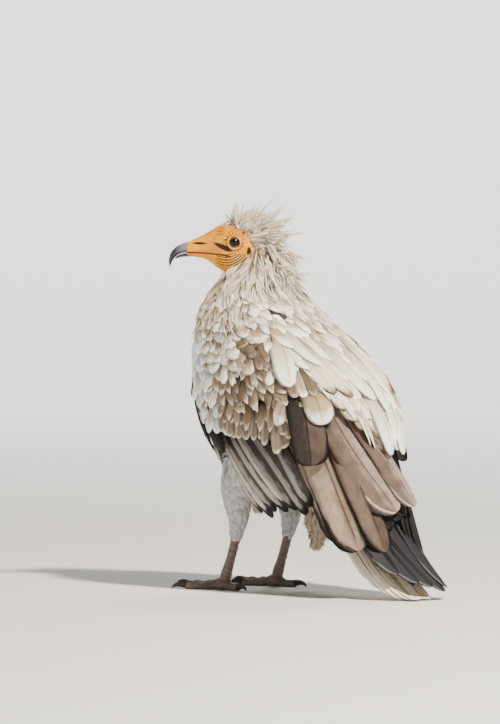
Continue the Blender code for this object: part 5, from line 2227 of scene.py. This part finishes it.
    def tertials(self) -> None:
        """Long taupe tertials over the flight feathers, the innermost broad and dark."""
        if self.left:
            columns = ((14, 0.205, 30, 0.076), (30, 0.225, 48, 0.066), (48, 0.238, 66, 0.064),
                       (64, 0.24, 86, 0.07), (76, 0.24, 100, 0.092), (84, 0.235, 116, 0.112))
            count, depth, roll, darkened, lift, longs = 8, 0.0142, 3, 5, 0.0, self.LONGS
        else:
            columns = ((14, 0.205, 31, 0.052), (28, 0.225, 46, 0.044), (42, 0.235, 59, 0.048),
                       (56, 0.235, 70, 0.064), (66, 0.235, 76, 0.092))
            count, depth, roll, darkened, lift, longs = 7, 0.0172, 2, 6, -0.003, self.LONGS[::6]
        plumes = self.fan(columns, count, 0.018, Tint.TAUPE, depth, 0.0002, Vane.BROAD, roll, start=0.1,
                          jitter=0.03)
        for k, plume in enumerate(plumes[-darkened:]):
            plume.lay = replace(plume.lay, palette=Tint.BLACK if k else Tint.RUSSET)
        for level, row in longs:
            out = level / 1000 + lift
            plumes += self.placed(row, Vane.BROAD, out, out - 0.002, 0.0008, 0.17)
        self.coat("tertials", TERTIAL, "tertial", plumes, 0.03)

    def fitted(self, rows: Marks) -> Marks:
        """Feathers' rows, drawn in on the right side, where the left wing lies over it."""
        if self.left:
            return rows
        return [(min(root_a, 40 + 0.5 * (root_a - 40)), root_b, min(tip_a, 40 + 0.55 * (tip_a - 40)), *rest)
                for root_a, root_b, tip_a, *rest in rows]

    def scapulars(self) -> None:
        """Smooth pale scapulars that flow down and inward over the back, streaked tan along their lower edge,
        where dark rims paint the shade over the tertials.
        """
        if self.left:
            columns = ((46, 0.33, 64, 0.246), (58, 0.334, 78, 0.212), (74, 0.335, 92, 0.182),
                       (92, 0.335, 106, 0.166))
        else:
            columns = ((46, 0.33, 58, 0.24), (58, 0.334, 68, 0.205), (74, 0.335, 79, 0.175),
                       (89, 0.335, 89, 0.16))
        small = Lay(Vane.CONTOUR, 0.0115, Tint.WHITE, root_out=-0.005, tip_out=-0.0002, arch=0.0008, roll=6)
        large = replace(small, half=0.0145, palette=Tint.SATIN, root_out=-0.006, tip_out=-0.0012)
        rows = tuple(Row(share, count, length, replace(lay, **change), jitter=jitter)
                     for share, count, length, lay, change, jitter in (
            (1.0, 6, 0.052, large, {"palette": Tint.TAWNY}, 0.1),
            (0.86, 6, 0.048, large, {"half": 0.015}, 0.12),
            (0.7, 6, 0.046, large, {}, 0.14), (0.55, 7, 0.042, large, {}, 0.16),
            (0.42, 7, 0.038, small, {"half": 0.013}, 0.18), (0.3, 8, 0.034, small, {}, 0.2),
            (0.2, 8, 0.03, small, {}, 0.22), (0.1, 9, 0.026, small, {}, 0.22)))
        tract = Tract(self.form, columns, rows, seed=11 + SIDES[self.label])
        sheets = self.SHEETS if self.left else self.SHEETS[:-2]
        plumes = tract.grow() + self.placed(self.fitted(self.STREAMERS), Vane.POINTED, 0.0002, -0.005)
        plumes += self.placed(self.fitted(self.LAST), rise=0.0024, root_out=-0.002, arch=0.0008)
        plumes += self.placed(self.fitted(sheets), rise=0.001, root_out=-0.004, arch=0.0016)
        self.coat("scapulars", FEATHER, "plumage", plumes)

    def primaries(self) -> None:
        """The folded primaries, whose tips show beside the tail."""
        if self.left:
            columns = ((48, 0.13, 70, 0.036), (62, 0.13, 84, 0.024), (78, 0.13, 101, 0.013),
                       (92, 0.134, 115, 0.009), (101, 0.138, 126, 0.019))
            plumes = self.fan(columns, 5, 0.0165, Tint.SLATE, 0.0198, 0.0006, Vane.BROAD, 2, jitter=0.02)
        else:
            columns = ((52, 0.13, 72, 0.042), (61, 0.13, 80, 0.03), (70, 0.13, 90, 0.02),
                       (79, 0.126, 97, 0.015))
            plumes = self.fan(columns, 6, 0.0105, Tint.SLATE, 0.0242, 0.0003, roll=2, jitter=0.03)
        self.coat("primaries", FLIGHT, "flight", plumes, 0.01)


@dataclass(frozen=True)
class Body:
    """The body's own coat: breast, belly, mantle and the ruff round the neck's base."""

    nest: Nest

    def build(self) -> None:
        """Every tract of the body."""
        self.breast(envelope(self.nest.origin))
        self.belly()
        self.mantle()
        self.ruff()

    def breast(self, form: Form) -> None:
        """Rounded pale feathers down the front."""
        lay = Lay(Vane.CONTOUR, 0.0118, Tint.BREAST, root_out=-0.0065, tip_out=-0.0012, arch=0.001, roll=6)
        columns = ((-126, 0.326, -124, 0.16), (-106, 0.33, -104, 0.134), (-90, 0.332, -90, 0.124),
                   (-74, 0.33, -76, 0.134), (-54, 0.318, -56, 0.16))
        rows = tuple(Row(1.0 - 0.071 * k, 13, 0.038 - 0.0014 * k, lay, jitter=0.4) for k in range(13))
        plumes = Tract(form, columns, rows, seed=21).grow()
        self.nest.coat("breast_vanes", FEATHER, "plumage", plumes, "breast")

    def belly(self) -> None:
        """Down under the body, between the breast, the wings and the vent."""
        form = Slices(self.nest.origin, Skin.body, Skin.power)
        lay = Lay(Vane.DOWN, 0.008, Tint.TROUSER, root_out=-0.001, tip_out=0.0075, arch=0.002, roll=6)
        columns = tuple((angle, 0.172, angle + 0.01, 0.114) for angle in range(-180, 181, 30))
        rows = tuple(Row(1.08 - 0.1 * k, 44, 0.024, lay, jitter=0.16) for k in range(10))
        plumes = Tract(form, columns, rows, seed=23, chart=(0.0, 0.0, 1.0, 0.6)).grow()
        dice = random.Random(24)
        for _ in range(170):
            angle, inward = dice.uniform(-180, 180), -0.03 * dice.random() ** 0.7
            aim = Vector((0, 0.55, -1.0)) + (form.point(angle, 0.112) - form.point(angle, 0.112, -0.02)) * 12
            tucked = replace(lay, root_out=inward, half=0.0062)
            patch = ((angle + 180) / 365, 0.65 + 0.3 * dice.random())
            plumes.append(tuft(form, (angle, 0.112), aim, 0.019, 0.1, tucked, patch, dice))
        self.nest.coat("belly_down", LOCK, "plumage", plumes)

    def mantle(self) -> None:
        """Small rounded feathers over the shoulders and the top of the back."""
        form = cowl(self.nest.origin)
        lay = Lay(Vane.CONTOUR, 0.0105, Tint.WHITE, root_out=-0.005, tip_out=0.0026, arch=0.0016, roll=9)
        columns = ((-34, 0.35, -30, 0.302), (10, 0.352, 8, 0.296), (50, 0.354, 50, 0.288),
                   (90, 0.354, 90, 0.284), (130, 0.354, 130, 0.288), (170, 0.352, 172, 0.296),
                   (214, 0.35, 210, 0.302))
        rows = tuple(Row(1.0 - 0.15 * k, 21 - k, 0.04 - 0.0026 * k, replace(lay, half=0.0128 - 0.00095 * k),
                         jitter=0.26) for k in range(5))
        plumes = Tract(form, columns, rows, seed=5).grow()
        self.nest.coat("mantle_vanes", FEATHER, "plumage", plumes, "mantle")

    def ruff(self) -> None:
        """Loose hackles that hang from the neck's base over the breast and the shoulders."""
        form = cowl(self.nest.origin)
        broad = Lay(Vane.POINTED, 0.0048, Tint.WHITE, root_out=-0.003, tip_out=0.003, arch=0.002, roll=14)
        loose = Lay(Vane.HACKLE, 0.002, Tint.HACKLE, root_out=-0.001, tip_out=0.0052, arch=0.0028, roll=25)
        columns = ((-170, 0.356, -166, 0.306), (-120, 0.357, -122, 0.294), (-90, 0.357, -90, 0.29),
                   (-60, 0.357, -56, 0.29), (-20, 0.356, -12, 0.3))
        rows = (Row(0.97, 30, 0.032, broad, jitter=0.25), Row(0.78, 30, 0.031, broad, jitter=0.25),
                Row(0.9, 52, 0.031, loose, jitter=0.35), Row(0.6, 30, 0.03, broad, jitter=0.25),
                Row(0.68, 52, 0.031, loose, jitter=0.35), Row(0.44, 44, 0.03, loose, jitter=0.35))
        plumes = Tract(form, columns, rows, seed=7).grow()
        dice = random.Random(8)
        for _ in range(120):
            angle, height = dice.gauss(-70, 42), dice.uniform(0.298, 0.34)
            stray = replace(loose, tip_out=dice.uniform(0.006, 0.011), half=dice.uniform(0.001, 0.0018))
            patch = (0.98 * (angle + 180) / 360 % 1.0, 0.95)
            tip = (angle + dice.gauss(0, 6), height - dice.uniform(0.02, 0.032))
            plumes.append(lay_plume(form, (angle, height), tip, stray, patch))
        self.nest.coat("ruff_hackles", FEATHER, "plumage", plumes, "ruff")


@dataclass(frozen=True)
class Mane:
    """Hackles down the neck, the hood of down behind the face and the spiky crest.

    Attributes:
        FACE: Height over the eyes and distance forward of the feathers' border on the head.
        QUILLS: Distance forward of the eyes and height over them of the crest's outermost tips.
    """

    nest: Nest
    FACE: ClassVar[Table] = mm(
        (-43.5, 15), (-38, 5), (-32, -8), (-20.5, -20.5), (-11, -22.5), (-3, -20), (6.3, -11.5), (14, -3),
        (16.2, 6), (17.6, 17), (20.5, 20),
    )
    QUILLS: ClassVar[Table] = mm(
        (12, 36), (5, 38), (-3, 45), (-8, 39), (-18, 34), (-25, 40), (-35, 35), (-44, 38), (-52, 33),
        (-57, 21), (-64, 26), (-70, 9), (-66, 0), (-73, -5), (-67, -14), (-71, -23), (-66, -32), (-72, -38),
    )

    def build(self) -> None:
        """Neck, hood and crest."""
        dice = random.Random(31)
        self.hackles(dice)
        self.nest.coat("hood_down", LOCK, "plumage", self.hood(dice))
        self.nest.coat("crest_wisps", LOCK, "plumage", self.spikes(dice), "crest")

    def hackles(self, dice: random.Random) -> None:
        """Locks of fine hackles that flow down the neck, each drawn together at its tip."""
        form = cowl(self.nest.origin)
        plumes = []
        for _ in range(620):
            angle, share = dice.uniform(-180, 180), dice.random() ** 0.9
            height = 0.388 - 0.06 * share
            length = (0.023 + 0.016 * share) * dice.uniform(0.75, 1.25)
            drift = 10 * math.sin(math.radians(angle * 5) + 60 * height) + dice.uniform(-8, 8)
            tip_out = dice.uniform(0.004, 0.0075) if dice.random() < 0.14 else dice.uniform(0.0005, 0.0036)
            tip = (angle + drift, max(height - length * 0.92, 0.286))
            patch = (0.98 * (angle + 180) / 360, 0.97 * (1 - share))
            tone = dice.uniform(0.84, 1.14)
            for _ in range(dice.randint(5, 7)):
                root = (angle + dice.gauss(0, 6.5), height + dice.gauss(0, 0.003))
                end = (tip[0] + dice.gauss(0, 1.5), tip[1] + dice.gauss(0, 0.0016))
                lay = Lay(Vane.HACKLE, dice.uniform(0.0009, 0.0016), Tint.HACKLE, root_out=-0.0035,
                          tip_out=tip_out + dice.gauss(0, 0.0003), arch=dice.uniform(0.0008, 0.003),
                          roll=dice.uniform(-35, 35))
                plumes.append(lay_plume(form, root, end, lay, patch, tone))
        self.nest.coat("neck_hackles", LOCK, "plumage", plumes)

    @staticmethod
    def border(up: float) -> float:
        """How far forward the feathers reach on the head at a height over the eyes."""
        return smooth(Mane.FACE, up)[0]

    def rooted(self, dice: random.Random, first: float, last: float) -> tuple[Vector, Vector, float, float]:
        """A random root on the feathered part of the skull.

        Args:
            dice: For the choice.
            first: The least distance forward.
            last: The greatest distance forward.

        Returns:
            The root, the way out, its distance behind the border and its height over the eyes.
        """
        head = Head(self.nest.frame)
        while True:
            f, angle = dice.uniform(first, last), dice.uniform(0, 2 * math.pi)
            top, bottom, half_width = smooth(head.rows, f)
            l, v = oval(angle, half_width, (top - bottom) / 2, head.power)
            up = (top + bottom) / 2 + v
            if f < self.border(up):
                tilt = step(0.02, 0.039, -f)
                round_it = (head.frame.left * l + UP * v).normalized()
                outward = round_it * (1 - 0.8 * tilt) - head.frame.forward * tilt
                root = head.frame.place(f, l * 0.96, (top + bottom) / 2 + v * 0.96)
                return root, outward.normalized(), self.border(up) - f, up

    def strand(self, root: Vector, heading: Vector, length: float, droop: float, half: float,
               palette: Palette, patch: tuple[float, float], dice: random.Random) -> Plume:
        """One tapering strand that leaves along a heading and curves down."""
        tip = root + heading * length - UP * droop * length
        side = heading.cross(tossed(dice)).normalized()
        bend = root + heading * length * 0.5
        tone = 1 + dice.uniform(-0.1, 0.1)
        return Plume(root, bend, tip, side, side, Lay(Vane.HACKLE, half, palette, cup=0.0), patch, tone)

    def hood(self, dice: random.Random) -> list[Plume]:
        """Short down from the border of the face backward, longer toward the nape."""
        back = -self.nest.frame.forward
        plumes = []
        for _ in range(3000):
            root, outward, behind, up = self.rooted(dice, -0.0385, 0.019)
            rise = 0.35 * step(0.0, 0.02, up) - 0.6 * step(0.0, 0.02, -up)
            wander = tossed(dice) * 0.22
            stand = 0.22 + 0.6 * min(behind / 0.02, 1.0)
            heading = (outward * stand + back * 0.9 + UP * rise + wander).normalized()
            length = (0.0055 + 0.015 * step(0.0, 0.024, behind)) * dice.uniform(0.75, 1.25)
            tint = Tint.CROWN if behind < 0.005 else Tint.HOOD
            patch = (0.5 + 12 * (root - self.nest.frame.middle).dot(back), 0.5 + 9 * up)
            half = dice.uniform(0.0007, 0.0013)
            plumes.append(self.strand(root, heading, length, 0.08, half, tint, patch, dice))
        return plumes

    def spikes(self, dice: random.Random) -> list[Plume]:
        """Locks of long strands that stand back and up, each drawn together at its tip."""
        frame = self.nest.frame
        centre = frame.place(-0.01, 0, -0.006)
        plumes = []
        nape = cowl(self.nest.origin)
        for _ in range(100):
            angle, height = dice.gauss(137, 36), dice.uniform(0.362, 0.402)
            root = nape.point(angle, height, -0.003)
            aim = nape.normal(angle, height) * dice.uniform(0.4, 0.95) - UP * dice.uniform(0.3, 0.95)
            patch = ((angle + 180) / 360 % 1.0, 0.1)
            self.lock(plumes, root, aim.normalized() * dice.uniform(0.022, 0.04), patch, dice)
        for _ in range(170):
            root, outward, behind, up = self.rooted(dice, -0.0385, 0.004)
            aim = (root - centre).normalized() - frame.forward * (0.2 + 0.4 * dice.random())
            aim += tossed(dice) * 0.24
            aim -= UP * 0.45 * step(0.0, 0.02, -up)
            length = (0.012 + 0.03 * step(0.002, 0.026, behind)) * dice.uniform(0.65, 1.2)
            length *= 1.0 - 0.3 * step(0.35, 0.95, aim.normalized().z)
            if dice.random() < 0.2:
                length *= 1.35
            patch = (0.5 + 10 * (root - frame.middle).dot(-frame.forward), 0.5 + 9 * up)
            self.lock(plumes, root, aim.normalized() * length, patch, dice)
        for ahead, up in self.QUILLS:
            tip = frame.place(ahead, dice.uniform(-0.006, 0.01), up)
            root = centre + (tip - centre) * 0.42
            patch = (0.5 + 10 * (root - frame.middle).dot(-frame.forward), 0.5 + 9 * up)
            self.lock(plumes, root, tip - root, patch, dice)
        return plumes

    def lock(self, plumes: list[Plume], root: Vector, reach: Vector, patch: tuple[float, float],
             dice: random.Random) -> None:
        """Adds a lock of strands that draw together at its tip.

        Args:
            plumes: The feathers to add to.
            root: Where it grows.
            reach: From its root to its tip.
            patch: Its place on the UV map.
            dice: For its strands.
        """
        tip = root + reach
        for _ in range(dice.randint(5, 8)):
            spot = root + tossed(dice) * 0.003
            end = tip + tossed(dice) * 0.0008
            heading = end - spot
            length = heading.length * dice.uniform(0.78, 1.04)
            heading.normalize()
            droop, half = dice.uniform(-0.02, 0.12), dice.uniform(0.0008, 0.0013)
            plumes.append(self.strand(spot, heading, length, droop, half, Tint.CREST, patch, dice))


@dataclass(frozen=True)
class Leg:
    """The feathers of one leg: thigh and the loose trousers behind it.

    Attributes:
        trousers: For each leg x, y, z, half width and half depth down the trousers.
    """

    nest: Nest
    label: str
    trousers: ClassVar[dict[str, Table]] = {
        "left": mm((36, 82, 146, 16, 20), (38, 74, 130, 15, 16), (40, 66, 116, 10, 10), (40, 60, 108, 3, 3)),
        "right": mm((36, 82, 142, 16, 22), (38, 78, 118, 16, 21), (40, 76, 96, 13.5, 18),
                    (40, 74, 78, 9, 12.5), (40, 72, 62, 3, 5)),
    }

    def build(self) -> None:
        """Thigh and trousers."""
        side = SIDES[self.label]
        thigh = Limb(self.nest.origin, Skin.thigh, side)
        # the thighs' bluish grey is painted shade on white feathers
        lay = Lay(Vane.CONTOUR, 0.004, Tint.THIGH, root_out=-0.0008, arch=0.0006, roll=5)
        columns = tuple((angle, 0.06, angle + 0.01, 0.97) for angle in range(-180, 181, 30))
        rows = tuple(Row(1.0 - 0.062 * k, 11 + k // 2, 0.018 + 0.0008 * k,
                         replace(lay, half=0.004 + 0.00036 * k, tip_out=0.0004 + 0.0001 * k), jitter=0.18)
                     for k in range(15))
        plumes = Tract(thigh, columns, rows, seed=51 + side).grow()
        self.nest.coat(f"thigh_vanes_{self.label}", SOFT, "plumage", plumes)
        form = Limb(self.nest.origin, self.trousers[self.label], side)
        dice = random.Random(53 + side)
        plumes = []
        for _ in range(420):
            angle, share = dice.uniform(-180, 180), dice.random() ** 0.8
            aim = -UP + form.normal(angle, share) * 0.3
            lay = Lay(Vane.DOWN, dice.uniform(0.003, 0.0048), Tint.TROUSER, root_out=-0.004, cup=0.1)
            patch = (0.98 * (angle + 180) / 360, 0.97 * (1 - share))
            length = 0.017 * dice.uniform(0.8, 1.25)
            plumes.append(tuft(form, (angle, share), aim, length, 0.05, lay, patch, dice))
        self.nest.coat(f"trouser_down_{self.label}", LOCK, "plumage", plumes, f"trousers_{self.label}")


@dataclass(frozen=True)
class Blade(Form):
    """The tail's arched surface.

    a is the share across from -1 to 1 and b the share along.

    Attributes:
        stations: y, z, half width and droop of the edges along it.
    """

    origin: Vector
    stations: Table = mm(
        (172, 96, 28, 3), (198, 70.5, 36, 6), (222, 47, 40, 7), (241, 28.5, 38, 6), (255, 15, 32, 5),
        (266, 6, 22, 2), (277, 2.4, 13, 0), (289, 2.2, 4, 0),
    )
    step_a = 0.05
    step_b = 0.02

    def table(self) -> Table:
        """The stations with their shares."""
        return [(i / (len(self.stations) - 1), *row) for i, row in enumerate(self.stations)]

    def point(self, a: float, b: float, out: float = 0.0) -> Vector:
        """Point at share a across and b along, raised by out."""
        table = self.table()
        y, z, half_width, droop = smooth(table, b)
        ahead, behind = smooth(table, b + 0.03), smooth(table, b - 0.03)
        along = Vector((0, ahead[0] - behind[0], ahead[1] - behind[1])).normalized()
        upward = ACROSS.cross(along)
        if upward.z < 0:
            upward = -upward
        return self.origin + Vector((a * half_width, y, z)) + upward * (out - droop * a * a)


@dataclass(frozen=True)
class Tail:
    """Twelve tail feathers in a wedge, with coverts over and under their bases.

    Attributes:
        count: How many feathers.
        pitch: Distance between neighbouring tips, across.
        coverts: x, y, z, half width and half depth along the body of coverts.
    """

    nest: Nest
    count: int = 12
    pitch: float = 0.0056
    coverts: Table = mm(
        (0, 134, 128, 36, 30), (0, 160, 107, 34, 26), (0, 184, 86, 29, 20), (0, 206, 67, 22, 12),
        (0, 224, 49, 13, 7.5),
    )

    def build(self) -> None:
        """Tail feathers and coverts."""
        form = Blade(self.nest.origin)
        plumes = []
        for i in range(self.count):
            place = i - (self.count - 1) / 2
            end = min((7.15 - 0.74 * abs(place)) / 7, 1.0)
            half_width = smooth(form.table(), end)[2]
            tip_a = max(min(place * self.pitch / half_width, 0.8), -0.8)
            level = 0.0012 - 0.00045 * abs(place)
            # the tail's palette is its own cream with painted sunlight
            lay = Lay(Vane.BROAD, 0.0108, Tint.TAIL, level, max(level, 0.0), roll=math.copysign(4, -place),
                      cup=0.04)
            plumes.append(lay_plume(form, (place / 7.5, 0.0), (tip_a, end), lay, (0.5 + place / 14, 0.8)))
        self.nest.coat("tail_vanes", FLIGHT, "plumage", plumes, "tail", fray=0.02)
        base = Limb(self.nest.origin, self.coverts)
        lay = Lay(Vane.POINTED, 0.0078, Tint.CREAM, root_out=-0.003, tip_out=0.001, arch=0.001, roll=6)
        columns = tuple((angle, 0.0, angle * 0.96, 1.0) for angle in range(-180, 181, 30))
        rows = tuple(Row(1.0 - 0.15 * k, 16, 0.034, lay, jitter=0.16) for k in range(6))
        plumes = Tract(base, columns, rows, seed=61).grow()
        self.nest.coat("tail_covert_vanes", FEATHER, "plumage", plumes, "tail_coverts")


@dataclass(frozen=True)
class Plumage:
    """The whole coat."""

    origin: Vector
    frame: HeadFrame

    def build(self) -> None:
        """Every tract, from the tail to the crown."""
        nest = Nest(self.origin, self.frame, Nest.gather())
        Tail(nest).build()
        Body(nest).build()
        for label in SIDES:
            Wing(nest, label).build()
            Leg(nest, label).build()
        Mane(nest).build()
        nest.clear()


# ---------------------------------------------------------------- the stage


@dataclass(frozen=True)
class Stage:
    """A pale floor that sweeps up into a backdrop, soft lights and the camera.

    Attributes:
        room: Radius of the flat part of the floor.
        sweep: Radius of its sweep up.
        azimuth: Where the camera stands, in degrees; 0 looks along +Y.
        elevation: Its height above the horizon in degrees.
        distance: How far away it is.
        tall: Height of the view at the bird.
        aim: The point in the middle of the view, across and up, from the origin.
        facets: Points round the floor.
        lamps: Name, distance toward the camera, to its right and up from the aim, size, watts and colour.
        sky: The world's colour.
        sky_strength: How strongly it lights.
    """

    origin: Vector
    azimuth: float = 137.0
    elevation: float = 2.0
    distance: float = 7.0
    tall: float = 0.8326
    aim: tuple[float, float] = (0.0023, 0.26)
    room: float = 8.0
    sweep: float = 1.7
    facets: int = 96
    lamps: tuple[tuple[str, float, float, float, float, float, Colour], ...] = (
        ("key", 1.9, 1.4, 2.6, 0.3, 330.0, (1.0, 0.915, 0.79)),
        ("fill", 1.6, -2.2, 0.7, 2.2, 8.0, (0.9, 0.95, 1.0)),
        ("rim", -2.0, 0.8, 2.4, 1.2, 60.0, (1.0, 0.97, 0.93)),
    )
    sky: Colour = (0.93, 0.92, 0.9)
    sky_strength: float = 0.09

    def build(self) -> None:
        """Floor, lights, world and camera."""
        self.floor()
        a, e = math.radians(self.azimuth), math.radians(self.elevation)
        back = Vector((math.sin(a) * math.cos(e), -math.cos(a) * math.cos(e), math.sin(e)))
        right = (-back).cross(UP).normalized()
        target = self.origin + right * self.aim[0] + UP * self.aim[1]
        lens = bpy.data.cameras.new("camera")
        lens.sensor_width = 36.0
        lens.lens = lens.sensor_width * self.distance / self.tall
        lens.clip_end = 60.0
        camera = bpy.data.objects.new("camera", lens)
        camera.location = target + back * self.distance
        camera.rotation_euler = (-back).to_track_quat("-Z", "Y").to_euler()
        bpy.context.scene.collection.objects.link(camera)
        bpy.context.scene.camera = camera
        for name, toward, aside, up, size, power, colour in self.lamps:
            self.light(name, target + back * toward + right * aside + UP * up, target, size, power, colour)
        world = bpy.data.worlds.new("studio")
        world.use_nodes = True
        sky = world.node_tree.nodes["Background"].inputs
        sky["Color"].default_value = (*self.sky, 1)
        sky["Strength"].default_value = self.sky_strength
        bpy.context.scene.world = world

    @staticmethod
    def light(name: str, place: Vector, target: Vector, size: float, power: float, colour: Colour) -> None:
        """A square soft light aimed at a point."""
        lamp = bpy.data.lights.new(name, "AREA")
        lamp.size, lamp.energy, lamp.color = size, power, colour
        holder = bpy.data.objects.new(name, lamp)
        holder.location = place
        holder.rotation_euler = (place - target).to_track_quat("Z", "Y").to_euler()
        bpy.context.scene.collection.objects.link(holder)

    def floor(self) -> None:
        """A round floor that sweeps up into a low backdrop on every side."""
        rows = [(0.001 + self.room * k / 8, 0.0) for k in range(9)]
        for k in range(1, 17):
            turn = 0.5 * math.pi * k / 16
            rows.append((self.room + self.sweep * math.sin(turn), self.sweep * (1.0 - math.cos(turn))))
        bm = bmesh.new()
        angles = [2 * math.pi * k / self.facets for k in range(self.facets)]
        rings = [[bm.verts.new((reach * math.cos(a), reach * math.sin(a), height)) for a in angles]
                 for reach, height in rows]
        for low, high in zip(rings, rings[1:]):
            for k in range(self.facets):
                j = (k + 1) % self.facets
                bm.faces.new((low[k], high[k], high[j], low[j]))
        bm.faces.new(rings[0])
        mesh = meshed(bm, "floor", smooth=True)
        mesh.materials.append(StageFinish("stage", 0.9).material())
        sheet = bpy.data.objects.new("floor", mesh)
        bpy.context.scene.collection.objects.link(sheet)


# ---------------------------------------------------------------- the bird


def foot_origin() -> Vector:
    """The point on the floor midway between the feet, from the frame's own foot nodes."""
    low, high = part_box("foot_left")
    far_low, far_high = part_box("foot_right")
    ahead = Foot.centre[1]
    return Vector(((low.x + high.x + far_low.x + far_high.x) / 4, (low.y + high.y) / 2 - ahead, 0.0))


def clear_scene() -> None:
    """Removes whatever the file holds."""
    for thing in list(bpy.data.objects):
        bpy.data.objects.remove(thing)


def main() -> None:
    """Builds the vulture and its stage."""
    logging.basicConfig(level=logging.INFO, format="%(name)s: %(message)s")
    clear_scene()
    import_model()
    origin = foot_origin()
    frame = HeadFrame(origin)
    head = Head(frame)
    Skin(origin, head).build(SkinFinish("bare skin", 0.48, frame))
    Bill(frame).build(HornFinish("bill horn", 0.34, frame))
    Eyes(head).build(EyeFinish("wet eye", 0.06, frame))
    for label, side in SIDES.items():
        Foot(origin, side).claws(ClawFinish("claw horn", 0.36), label)
    Plumage(origin, frame).build()
    Stage(origin).build()


if __name__ == "__main__":
    main()
